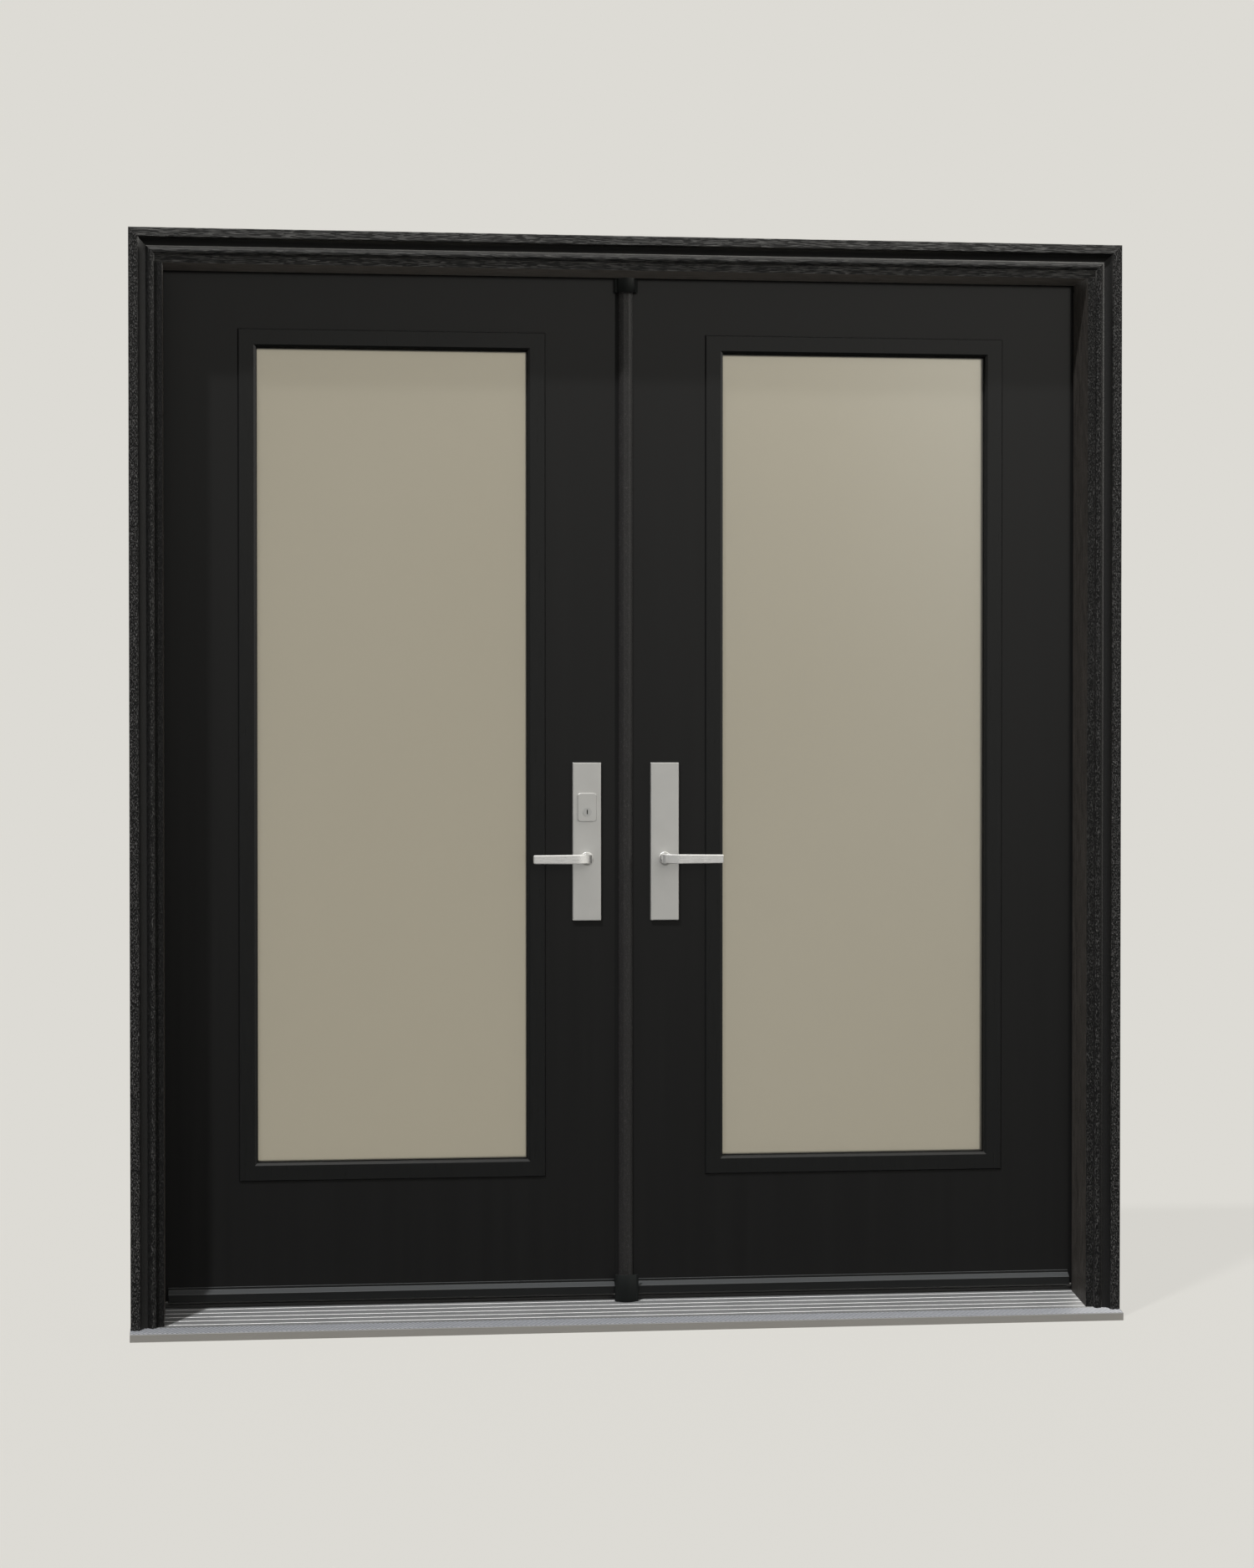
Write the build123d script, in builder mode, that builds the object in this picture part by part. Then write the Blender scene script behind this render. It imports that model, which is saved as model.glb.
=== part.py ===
from build123d import *
import os

# An inswing double entrance door in its frame, seen from outside.
# X runs along the wall to the right, Y into the building, Z up, all in millimetres.
# The origin is on the underside of the sill, midway between the jambs,
# in the plane of the leaves' outer faces.

os.makedirs("parts", exist_ok=True)

# Clearances and seals
swing_clearance = 5.0        # round each leaf, to anything that stays still
seal_depth = 8.0
seal_width = 9.0
hinge_play = 0.4
handle_play = 0.5

# Frame
opening_width = 1804.0       # between the stops of the two side jambs
opening_top = 2048.3         # underside of the head stop above the floor
stop_lap = 12.0              # how far the stops cover the leaves' edges
jamb_depth = 166.7
jamb_thickness = 34.0
brickmould_width = 48.0
brickmould_thickness = 22.0
brickmould_reveal = 15.0     # strip of jamb left showing beside the brickmould
band_width = 18.0            # flat outer band of the brickmould
band_arris = 1.2
cove_width = 14.5            # hollow between the band and the bead
cove_floor = 6.0             # how far the bottom of the hollow stands off the jamb
cove_turn_share = 0.66       # of the hollow's width, to the point where it turns upward
cove_turn_rise = 0.3         # of the hollow's depth, at that point
bead_height = 11.5
bead_crown_share = 0.45      # of the bead's width, from the lip to its crown
bead_lip = 8.0
relief_width = 10.0          # shallow channel along the back, beside the jamb
relief_depth = 2.0
foot_relief = 5.0            # the outer back strip starts this far above the sill

# Sill
sill_overhang = 1.0          # past the brickmould at each end
sill_height = 35.0
sill_flat_front = -3.0
sill_skin = 3.2
nose_projection = 22.0       # past the front of the brickmould
nose_height = 15.0
nose_radius = 1.5
groove_count = 5
groove_pitch = 24.0
first_groove = -16.0
groove_width = 4.0
groove_depth = 1.6
groove_cut_rise = 1.0        # how far the groove's cut starts above the slope
riser_height = 7.3
riser_front = -1.5
riser_bevel = 1.5

# Leaves
slab_thickness = 44.5
meeting_gap = 12.0           # between the two full leaf widths at the centre of the doorway
active_setback = 13.0        # the active leaf's edge is cut back from its full width by this
hinge_stile = 189.7          # from the leaf's hinge edge to the glass that shows
meeting_stile = 187.7        # from the leaf's full width at the centre to the glass
top_rail = 155.2
bottom_rail = 267.2
lite_frame_width = 35.5
lite_frame_proud = 4.0
lite_outer_bevel = 2.5
lite_inner_bevel = 4.5
lite_inner_drop = 3.0
lite_leg_thickness = 14.0    # the part of each frame that reaches in to the glass
lite_leg_play = 1.0
glass_setback = 10.0         # from either face of the leaf to the glass
glass_edge_cover = 12.0

# Drip caps
drip_height = 27.2
drip_depth = 14.0
drip_front_height = 15.2
drip_band_rise = 7.0
drip_flange = 3.0

# Astragal between the leaves, carried by the passive one
moulding_width = 28.0
moulding_depth = 11.0
moulding_side = 3.0
moulding_front_width = 10.0
moulding_bulge = 1.0         # of each sloping side, beyond a flat slope
stem_overhang = 2.0
centre_seal_width = 5.0
centre_seal_depth = 8.0
centre_seal_setback = 28.0
cap_width = 47.0             # over the flange at the back of each cap
cap_flange = 2.0
cap_shoulder = 3.0           # flat strip on each side of the bow
cap_side = 4.5
cap_wall = 1.5
cap_tuck = 10.0              # how far the moulding runs past the end of each cap
top_cap_height = 27.5
top_cap_bow = 11.0
bottom_cap_height = 51.0
bottom_cap_bow = 6.0
cap_neck_width = 30.0        # between the drip caps, behind the bottom cap
cap_neck_height = 35.0
drip_end_cover = 1.0         # how far the bottom cap laps in front of each drip cap

# Hinges
hinge_height = 101.6
hinge_leaf_width = 36.5
hinge_leaf_thickness = 3.0
knuckle_radius = 6.0
knuckle_count = 3
knuckle_setoff = 1.0         # from the leaf's inner face to the barrel
pin_radius = 3.0
top_hinge_drop = 229.0
bottom_hinge_rise = 280.0

# Door furniture
handle_centre_x = 77.4
spindle_z = 907.0
spindle_side = 8.0
latch_bore_radius = 13.0
plate_width = 56.4
plate_height = 311.6
plate_thickness = 8.0
plate_centre_z = 940.3
plate_arris = 1.0
collar_radius = 12.0
collar_height = 2.0
neck_radius = 8.5
neck_length = 18.0
neck_inside = 3.0            # how far each neck reaches into the leaf
lever_reach = 110.0
lever_root_height = 18.5
lever_tip_height = 16.5
lever_tip_radius = 2.2
lever_thickness = 9.0
lever_projection = 60.0      # front of the lever from the leaf's face
lever_root = 8.0
lever_outer_bend = 32.0
lever_inner_bend = 18.0
lever_arris = 1.5
pad_width = 37.3
pad_height = 55.6
pad_thickness = 5.0
pad_radius = 5.5
pad_arris = 0.8
pad_centre_z = 1008.0
cylinder_radius = 8.6
cylinder_proud = 1.5
cylinder_play = 0.1
cylinder_z = 998.8
key_slot_height = 9.0
key_slot_width = 2.2
turn_base_radius = 13.0
turn_base_height = 6.0
turn_post_radius = 4.0
turn_post_height = 10.0
turn_width = 8.0
turn_height = 34.0
turn_thickness = 14.0
faceplate_width = 22.0
faceplate_height = 560.0
faceplate_thickness = 2.5
strike_height = 320.0

# Derived positions
half_opening = opening_width / 2
leaf_back = slab_thickness
jamb_front = leaf_back - jamb_depth
stop_back = -(swing_clearance + seal_depth)
leaf_edge = half_opening + stop_lap
rabbet_face = leaf_edge + swing_clearance
jamb_back = half_opening + jamb_thickness
slab_top = opening_top + stop_lap
rabbet_top = slab_top + swing_clearance
head_top = opening_top + jamb_thickness
riser_top = sill_height + riser_height
slab_bottom = riser_top + swing_clearance
slab_height = slab_top - slab_bottom
slab_middle = (slab_top + slab_bottom) / 2
brickmould_inner = half_opening + brickmould_reveal
brickmould_outer = brickmould_inner + brickmould_width
brickmould_face = jamb_front - brickmould_thickness
brickmould_top = opening_top + brickmould_reveal + brickmould_width
nose_face = brickmould_face - nose_projection
sill_half = brickmould_outer + sill_overhang
sill_slope = (sill_height - nose_height) / (sill_flat_front - nose_face)
active_edge = -(meeting_gap / 2 + active_setback)
passive_edge = meeting_gap / 2
sight_inner = passive_edge + meeting_stile
sight_outer = leaf_edge - hinge_stile
sight_low = slab_bottom + bottom_rail
sight_high = slab_top - top_rail
sight_width = sight_outer - sight_inner
sight_height = sight_high - sight_low
sight_centre_x = (sight_inner + sight_outer) / 2
sight_centre_z = (sight_low + sight_high) / 2
lite_width = sight_width + 2 * lite_frame_width
lite_height = sight_height + 2 * lite_frame_width
lite_reach = lite_leg_thickness + lite_leg_play
moulding_half = moulding_width / 2
stem_edge = -moulding_half + stem_overhang
top_cap_back = -swing_clearance
bottom_cap_back = -(drip_depth + swing_clearance)
cap_half = cap_width / 2
hinge_axis_x = (leaf_edge + rabbet_face) / 2
hinge_axis_y = leaf_back + knuckle_radius + knuckle_setoff
low_hinge = slab_bottom + bottom_hinge_rise
high_hinge = slab_top - top_hinge_drop
hinge_centres = (low_hinge, (low_hinge + high_hinge) / 2, high_hinge)
mid_leaf = Plane.XZ.offset(-slab_thickness / 2)
plate_face = Plane.XZ.offset(plate_thickness)


def save(part, name):
    """Label one finished piece and write it to its own file."""
    part.label = name
    export_step(part, f"parts/{name}.step")


def save_mirrored(part, name, about):
    """Write the mirror image of a finished piece under another name."""
    with BuildPart() as copy:
        mirror(part, about=about)
    save(copy.part, name)
    return copy.part


# Sill: an aluminium skin over a solid core, sloping out to a square nose

def sill_outline(drop):
    """The sill's section, with its top and front moved in by drop."""
    with BuildSketch(Plane.YZ) as outline:
        with BuildLine():
            Polyline(
                (nose_face + drop, 0),
                (nose_face + drop, nose_height - drop),
                (sill_flat_front, sill_height - drop),
                (leaf_back, sill_height - drop),
                (leaf_back, 0),
                close=True,
            )
        make_face()
    return outline.sketch


with BuildPart() as sill_envelope:
    extrude(sill_outline(0), amount=sill_half + sill_skin, both=True)

with BuildPart() as sill_core:
    extrude(sill_outline(sill_skin), amount=sill_half, both=True)
save(sill_core.part, "sill_core")

with BuildPart() as sill_deck:
    extrude(sill_outline(0), amount=sill_half, both=True)
    extrude(sill_outline(sill_skin), amount=sill_half, both=True, mode=Mode.SUBTRACT)
    nose_edge = sill_deck.edges().filter_by(Axis.X).group_by(Axis.Y)[0].sort_by(Axis.Z)[-1]
    fillet(nose_edge, radius=nose_radius)
    with BuildSketch(Plane.YZ) as grooves:
        for number in range(groove_count):
            groove_y = first_groove - number * groove_pitch
            groove_z = sill_height - sill_slope * (sill_flat_front - groove_y)
            with Locations((groove_y, groove_z)):
                Polygon(
                    (-groove_width / 2, groove_cut_rise), (groove_width / 2, groove_cut_rise),
                    (groove_width / 4, -groove_depth), (-groove_width / 4, -groove_depth),
                    align=None,
                )
    extrude(grooves.sketch, amount=brickmould_inner, both=True, mode=Mode.SUBTRACT)
save(sill_deck.part, "sill_deck")

# Threshold riser under the leaves, between the two jamb rabbets
with BuildPart() as threshold_riser:
    with BuildSketch(Plane.YZ):
        with BuildLine():
            Polyline(
                (riser_front, sill_height),
                (riser_front, riser_top - riser_bevel),
                (riser_front + riser_bevel, riser_top),
                (leaf_back - riser_bevel, riser_top),
                (leaf_back, riser_top - riser_bevel),
                (leaf_back, sill_height),
                close=True,
            )
        make_face()
    extrude(amount=rabbet_face, both=True)
save(threshold_riser.part, "threshold_riser")

# Head jamb with its stop, lying over both side jambs
with BuildPart() as head_jamb:
    with BuildSketch(Plane.YZ):
        with BuildLine():
            Polyline(
                (jamb_front, opening_top), (jamb_front, head_top), (leaf_back, head_top),
                (leaf_back, rabbet_top), (stop_back, rabbet_top), (stop_back, opening_top),
                close=True,
            )
        make_face()
    extrude(amount=jamb_back, both=True)
save(head_jamb.part, "head_jamb")

# Side jambs: a rabbeted section cut to the slope of the sill, with pockets for three hinges
with BuildPart() as right_jamb:
    with BuildSketch(Plane.XY):
        with BuildLine():
            Polyline(
                (half_opening, jamb_front), (jamb_back, jamb_front), (jamb_back, leaf_back),
                (rabbet_face, leaf_back), (rabbet_face, stop_back), (half_opening, stop_back),
                close=True,
            )
        make_face()
    extrude(amount=head_top)
    add(sill_envelope.part, mode=Mode.SUBTRACT)
    add(head_jamb.part, mode=Mode.SUBTRACT)
    with BuildSketch(Plane.YZ.offset(rabbet_face)):
        for centre_z in hinge_centres:
            with Locations((leaf_back - hinge_leaf_width / 2, centre_z)):
                Rectangle(hinge_leaf_width, hinge_height)
    extrude(amount=hinge_leaf_thickness, mode=Mode.SUBTRACT)
save(right_jamb.part, "right_jamb")
save_mirrored(right_jamb.part, "left_jamb", Plane.YZ)


# Brickmould: flat outer band, cove and bead, mitred at the two upper corners

def brickmould_section(plane):
    """The section, with local X running outward from the inner lip and local Y out of the wall."""
    cove_inner = brickmould_width - band_width - cove_width
    cove_outer = brickmould_width - band_width
    cove_depth = brickmould_thickness - cove_floor
    relief_start = jamb_back - brickmould_inner
    with BuildSketch(plane) as section:
        with BuildLine():
            lip = Line((0, 0), (0, bead_lip))
            bead = ThreePointArc(
                lip @ 1, (cove_inner * bead_crown_share, bead_height), (cove_inner, cove_floor)
            )
            cove = ThreePointArc(
                bead @ 1,
                (cove_inner + cove_width * cove_turn_share, cove_floor + cove_depth * cove_turn_rise),
                (cove_outer, brickmould_thickness - band_arris),
            )
            Polyline(
                cove @ 1,
                (cove_outer + band_arris, brickmould_thickness),
                (brickmould_width - band_arris, brickmould_thickness),
                (brickmould_width, brickmould_thickness - band_arris),
                (brickmould_width, 0),
                (relief_start + relief_width, 0),
                (relief_start + relief_width, relief_depth),
                (relief_start, relief_depth),
                (relief_start, 0),
                lip @ 0,
            )
        make_face()
    return section.sketch


right_mitre = Plane(origin=(half_opening, 0, opening_top), z_dir=(-1, 0, 1))
left_mitre = Plane(origin=(-half_opening, 0, opening_top), z_dir=(1, 0, 1))
upright_start = Plane(origin=(brickmould_inner, jamb_front, 0), x_dir=(1, 0, 0), z_dir=(0, 0, -1))
head_middle = Plane(
    origin=(0, jamb_front, opening_top + brickmould_reveal), x_dir=(0, 0, 1), z_dir=(1, 0, 0)
)

with BuildPart() as brickmould_right:
    extrude(brickmould_section(upright_start), amount=-brickmould_top)
    split(bisect_by=right_mitre, keep=Keep.BOTTOM)
    foot_top = sill_height - sill_slope * (sill_flat_front - jamb_front) + foot_relief
    with Locations((jamb_back, jamb_front, 0)):
        Box(
            brickmould_inner + brickmould_width - jamb_back, relief_depth, foot_top,
            align=(Align.MIN, Align.MAX, Align.MIN), mode=Mode.SUBTRACT,
        )
    add(sill_envelope.part, mode=Mode.SUBTRACT)
save(brickmould_right.part, "brickmould_right")
save_mirrored(brickmould_right.part, "brickmould_left", Plane.YZ)

with BuildPart() as brickmould_head:
    extrude(brickmould_section(head_middle), amount=brickmould_outer, both=True)
    split(bisect_by=right_mitre, keep=Keep.TOP)
    split(bisect_by=left_mitre, keep=Keep.TOP)
save(brickmould_head.part, "brickmould_head")


# Seals on the backs of the stops: a flat heel with a round bulb towards the leaf

def seal_section(plane):
    """The section, with local X running away from the doorway and local Y towards the leaf."""
    bulb_radius = seal_width / 2
    heel = seal_depth - bulb_radius
    with BuildSketch(plane) as section:
        with BuildLine():
            side = Line((0, 0), (0, heel))
            bulb = ThreePointArc(side @ 1, (bulb_radius, seal_depth), (seal_width, heel))
            Polyline(bulb @ 1, (seal_width, 0), side @ 0)
        make_face()
    return section.sketch


with BuildPart() as seal_head:
    head_stop = Plane(origin=(0, stop_back, opening_top), x_dir=(0, 0, 1), z_dir=(-1, 0, 0))
    extrude(seal_section(head_stop), amount=half_opening + seal_width, both=True)
save(seal_head.part, "seal_head")

with BuildPart() as seal_right:
    right_stop = Plane(origin=(half_opening, stop_back, 0), x_dir=(1, 0, 0), z_dir=(0, 0, 1))
    extrude(seal_section(right_stop), amount=opening_top)
    add(sill_envelope.part, mode=Mode.SUBTRACT)
save(seal_right.part, "seal_right")
save_mirrored(seal_right.part, "seal_left", Plane.YZ)


# Hinges: three to a leaf, each with three knuckles round a pin that ends flush with them

def hinge_halves(side, on_jamb):
    """The jamb's or the leaf's half of the three hinges on one side (-1 left, 1 right)."""
    knuckle_pitch = hinge_height / knuckle_count
    knuckle_length = knuckle_pitch - hinge_play
    if on_jamb:
        plate_x = side * (rabbet_face + hinge_leaf_thickness / 2)
    else:
        plate_x = side * (leaf_edge - hinge_leaf_thickness / 2)
    axis_x = side * hinge_axis_x
    tab_reach = hinge_axis_y - leaf_back
    with BuildPart() as halves:
        for centre_z in hinge_centres:
            with Locations((plate_x, leaf_back - hinge_leaf_width / 2, centre_z)):
                Box(hinge_leaf_thickness, hinge_leaf_width, hinge_height)
            for number in range(knuckle_count):
                if (number % 2 == 0) != on_jamb:
                    continue
                knuckle_z = centre_z + (number - (knuckle_count - 1) / 2) * knuckle_pitch
                with Locations((axis_x, hinge_axis_y, knuckle_z)):
                    Cylinder(knuckle_radius, knuckle_length)
                with Locations((plate_x, leaf_back + tab_reach / 2, knuckle_z)):
                    Box(hinge_leaf_thickness, tab_reach, knuckle_length)
            with Locations((axis_x, hinge_axis_y, centre_z)):
                if on_jamb:
                    Cylinder(pin_radius, hinge_height - hinge_play)
                else:
                    Cylinder(pin_radius + hinge_play, hinge_height, mode=Mode.SUBTRACT)
    return halves.part


with BuildPart() as jamb_hinges:
    add(hinge_halves(-1, True))
    add(hinge_halves(1, True))
save(jamb_hinges.part, "jamb_hinges")
save(hinge_halves(-1, False), "left_leaf_hinges")
save(hinge_halves(1, False), "right_leaf_hinges")


# Leaves

def slab(side, meeting_edge):
    """One leaf's slab, cut through for its glass and its latch, with three hinge pockets."""
    hinge_edge = side * leaf_edge
    with BuildPart() as body:
        with BuildSketch(Plane.XZ):
            with Locations(((hinge_edge + meeting_edge) / 2, slab_middle)):
                Rectangle(abs(hinge_edge - meeting_edge), slab_height)
            with Locations((side * sight_centre_x, sight_centre_z)):
                Rectangle(sight_width + 2 * lite_reach, sight_height + 2 * lite_reach, mode=Mode.SUBTRACT)
            with Locations((side * handle_centre_x, spindle_z)):
                Circle(latch_bore_radius, mode=Mode.SUBTRACT)
        extrude(amount=-slab_thickness)
        with BuildSketch(Plane.YZ.offset(hinge_edge)):
            for centre_z in hinge_centres:
                with Locations((leaf_back - hinge_leaf_width / 2, centre_z)):
                    Rectangle(hinge_leaf_width, hinge_height)
        extrude(amount=-side * hinge_leaf_thickness, mode=Mode.SUBTRACT)
    return body


def edge_plate(edge_x, direction, height):
    """A thin plate let into an upright edge, its face flush with the edge at edge_x."""
    with BuildPart() as plate:
        with BuildSketch(Plane.YZ.offset(edge_x)):
            with Locations((slab_thickness / 2, plate_centre_z)):
                Rectangle(faceplate_width, height)
        extrude(amount=direction * faceplate_thickness)
    return plate.part


def lite_frame(side, outside):
    """The moulded frame round one leaf's glass, on its outer or its inner face."""
    face_y = 0 if outside else leaf_back
    out = 1 if outside else -1
    centre_x = side * sight_centre_x
    left, right = centre_x - lite_width / 2, centre_x + lite_width / 2
    low, high = sight_centre_z - lite_height / 2, sight_centre_z + lite_height / 2
    leg_outer = lite_frame_width - lite_leg_thickness
    with BuildPart() as frame:
        with BuildLine() as path:
            Polyline(
                (centre_x, face_y, low), (right, face_y, low), (right, face_y, high),
                (left, face_y, high), (left, face_y, low),
                close=True,
            )
        with BuildSketch(Plane(origin=(centre_x, face_y, low), x_dir=(0, 0, 1), z_dir=(1, 0, 0))):
            with BuildLine():
                Polyline(
                    (0, 0),
                    (lite_outer_bevel, out * lite_frame_proud),
                    (lite_frame_width - lite_inner_bevel, out * lite_frame_proud),
                    (lite_frame_width, out * (lite_frame_proud - lite_inner_drop)),
                    (lite_frame_width, -out * glass_setback),
                    (leg_outer, -out * glass_setback),
                    (leg_outer, 0),
                    close=True,
                )
            make_face()
        sweep(path=path.wires()[0], transition=Transition.RIGHT)
    return frame.part


def glass(side):
    """The sealed glass unit, held between the two lite frames."""
    with BuildPart() as pane:
        with BuildSketch(Plane.XZ.offset(-glass_setback)):
            with Locations((side * sight_centre_x, sight_centre_z)):
                Rectangle(sight_width + 2 * glass_edge_cover, sight_height + 2 * glass_edge_cover)
        extrude(amount=-(slab_thickness - 2 * glass_setback))
    return pane.part


def drip_cap(side):
    """The moulding that throws water off the foot of one leaf."""
    outer_end = half_opening - swing_clearance
    inner_end = cap_half - drip_end_cover
    drip_top = slab_bottom + drip_height
    band_low = slab_bottom + drip_front_height
    with BuildPart() as cap:
        with BuildSketch(Plane.YZ.offset(side * inner_end)):
            with BuildLine():
                Polyline(
                    (0, slab_bottom),
                    (-drip_depth, slab_bottom),
                    (-drip_depth, band_low),
                    (-drip_flange, band_low + drip_band_rise),
                    (-drip_flange, drip_top),
                    (0, drip_top),
                    close=True,
                )
            make_face()
        extrude(amount=side * (outer_end - inner_end))
    return cap.part


left_slab = slab(-1, active_edge)
faceplate = edge_plate(active_edge, -1, faceplate_height)
with BuildPart() as left_slab_pocketed:
    add(left_slab.part)
    add(faceplate, mode=Mode.SUBTRACT)
save(left_slab_pocketed.part, "left_slab")
save(faceplate, "lock_faceplate")
save(slab(1, passive_edge).part, "right_slab")

for side, side_name in ((-1, "left"), (1, "right")):
    save(lite_frame(side, True), f"{side_name}_lite_frame_outside")
    save(lite_frame(side, False), f"{side_name}_lite_frame_inside")
    save(glass(side), f"{side_name}_glass")
    save(drip_cap(side), f"{side_name}_drip_cap")

# Astragal: a box stem on the passive leaf's edge, behind a moulding with sloping sides
strike_plate = edge_plate(stem_edge, 1, strike_height)
with BuildPart() as astragal_stem:
    with BuildSketch(Plane.XY.offset(slab_bottom)):
        with Locations(((stem_edge + passive_edge) / 2, slab_thickness / 2)):
            Rectangle(passive_edge - stem_edge, slab_thickness)
    extrude(amount=slab_height)
    add(strike_plate, mode=Mode.SUBTRACT)
save(astragal_stem.part, "astragal_stem")
save(strike_plate, "strike_plate")

moulding_low = sill_height + bottom_cap_height - cap_tuck
moulding_high = opening_top - top_cap_height + cap_tuck
with BuildPart() as astragal_moulding:
    with BuildSketch(Plane.XY.offset(moulding_low)):
        with BuildLine():
            slope_middle = (moulding_half + moulding_front_width / 2) / 2
            slope_bulge = -(moulding_side + moulding_depth) / 2 - moulding_bulge
            left_side = Line((-moulding_half, 0), (-moulding_half, -moulding_side))
            left_slope = ThreePointArc(
                left_side @ 1, (-slope_middle, slope_bulge), (-moulding_front_width / 2, -moulding_depth)
            )
            front = Line(left_slope @ 1, (moulding_front_width / 2, -moulding_depth))
            right_slope = ThreePointArc(
                front @ 1, (slope_middle, slope_bulge), (moulding_half, -moulding_side)
            )
            Polyline(right_slope @ 1, (moulding_half, 0), left_side @ 0)
        make_face()
    extrude(amount=moulding_high - moulding_low)
save(astragal_moulding.part, "astragal_moulding")

with BuildPart() as centre_seal:
    with BuildSketch(Plane.XY.offset(slab_bottom)):
        bulb_tip = stem_edge - centre_seal_width
        bulb_radius = centre_seal_depth / 2
        seal_back = centre_seal_setback + centre_seal_depth
        with BuildLine():
            heel_line = Line(
                (stem_edge, centre_seal_setback), (bulb_tip + bulb_radius, centre_seal_setback)
            )
            bulb_arc = ThreePointArc(
                heel_line @ 1,
                (bulb_tip, centre_seal_setback + bulb_radius),
                (bulb_tip + bulb_radius, seal_back),
            )
            Polyline(bulb_arc @ 1, (stem_edge, seal_back), heel_line @ 0)
        make_face()
    extrude(amount=slab_height)
save(centre_seal.part, "centre_seal")


# Astragal caps: bow-fronted covers, open at the back, fixed to the head stop and to the sill

def cap_outline(plane, back, bow, wall):
    """The plan of a cap's body from its back at Y back, with its sides and front moved in by wall."""
    half = cap_half - cap_flange - wall
    bow_half = cap_half - cap_flange - cap_shoulder - wall
    front = back - cap_side + wall
    with BuildSketch(plane) as outline:
        with BuildLine():
            left_side = Polyline((-half, back), (-half, front), (-bow_half, front))
            arc = ThreePointArc(left_side @ 1, (0, front - bow), (bow_half, front))
            Polyline(arc @ 1, (half, front), (half, back), left_side @ 0)
        make_face()
    return outline.sketch


def cap_body(base, height, back, bow):
    """A solid cap standing on the plane at base, with the flange along its back."""
    with BuildPart() as body:
        extrude(cap_outline(Plane.XY.offset(base), back, bow, 0), amount=height)
        with BuildSketch(Plane.XY.offset(base)):
            with Locations((0, back - cap_flange / 2)):
                Rectangle(cap_width, cap_flange)
        extrude(amount=height)
    return body.part


with BuildPart() as astragal_cap_top:
    add(cap_body(opening_top - top_cap_height, top_cap_height, top_cap_back, top_cap_bow))
    extrude(
        cap_outline(Plane.XY.offset(opening_top - cap_wall), top_cap_back, top_cap_bow, cap_wall),
        amount=cap_wall - top_cap_height,
        mode=Mode.SUBTRACT,
    )
save(astragal_cap_top.part, "astragal_cap_top")

# The bottom cap stands in front of the drip caps, on a foot and neck that reach back between them
with BuildPart() as astragal_cap_bottom:
    neck_top = sill_height + cap_neck_height
    add(cap_body(0, sill_height + bottom_cap_height, bottom_cap_back, bottom_cap_bow))
    with BuildSketch():
        with Locations((0, (bottom_cap_back + top_cap_back) / 2)):
            Rectangle(cap_neck_width, top_cap_back - bottom_cap_back)
    extrude(amount=neck_top)
    add(sill_envelope.part, mode=Mode.SUBTRACT)
    extrude(
        cap_outline(Plane.XY.offset(neck_top), bottom_cap_back, bottom_cap_bow, cap_wall),
        amount=bottom_cap_height - cap_neck_height,
        mode=Mode.SUBTRACT,
    )
save(astragal_cap_bottom.part, "astragal_cap_bottom")

# Handle plates: a long flat plate with a raised collar round the lever's neck
with BuildPart() as right_plate_outside:
    with BuildSketch(Plane.XZ):
        with Locations((handle_centre_x, plate_centre_z)):
            Rectangle(plate_width, plate_height)
    extrude(amount=plate_thickness)
    chamfer(right_plate_outside.faces().sort_by(Axis.Y)[0].edges(), length=plate_arris)
    with BuildSketch(plate_face):
        with Locations((handle_centre_x, spindle_z)):
            Circle(collar_radius)
    extrude(amount=collar_height)
    with BuildSketch(Plane.XZ):
        with Locations((handle_centre_x, spindle_z)):
            Circle(neck_radius + handle_play)
    extrude(amount=plate_thickness + collar_height, mode=Mode.SUBTRACT)
save(right_plate_outside.part, "right_plate_outside")
save_mirrored(right_plate_outside.part, "right_plate_inside", mid_leaf)
left_plate_outside = save_mirrored(right_plate_outside.part, "left_plate_outside", Plane.YZ)
save_mirrored(left_plate_outside, "left_plate_inside", mid_leaf)

# Keyed pad on the active leaf, with its lock cylinder and key slot
with BuildPart() as lock_cylinder:
    with BuildSketch(plate_face):
        with Locations((-handle_centre_x, cylinder_z)):
            Circle(cylinder_radius)
            Rectangle(key_slot_width, key_slot_height, mode=Mode.SUBTRACT)
    extrude(amount=pad_thickness + cylinder_proud)
save(lock_cylinder.part, "lock_cylinder")

with BuildPart() as keyed_pad:
    with BuildSketch(plate_face):
        with Locations((-handle_centre_x, pad_centre_z)):
            RectangleRounded(pad_width, pad_height, pad_radius)
    extrude(amount=pad_thickness)
    chamfer(keyed_pad.faces().sort_by(Axis.Y)[0].edges(), length=pad_arris)
    with BuildSketch(plate_face):
        with Locations((-handle_centre_x, cylinder_z)):
            Circle(cylinder_radius + cylinder_play)
    extrude(amount=pad_thickness, mode=Mode.SUBTRACT)
save(keyed_pad.part, "keyed_pad")

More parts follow.
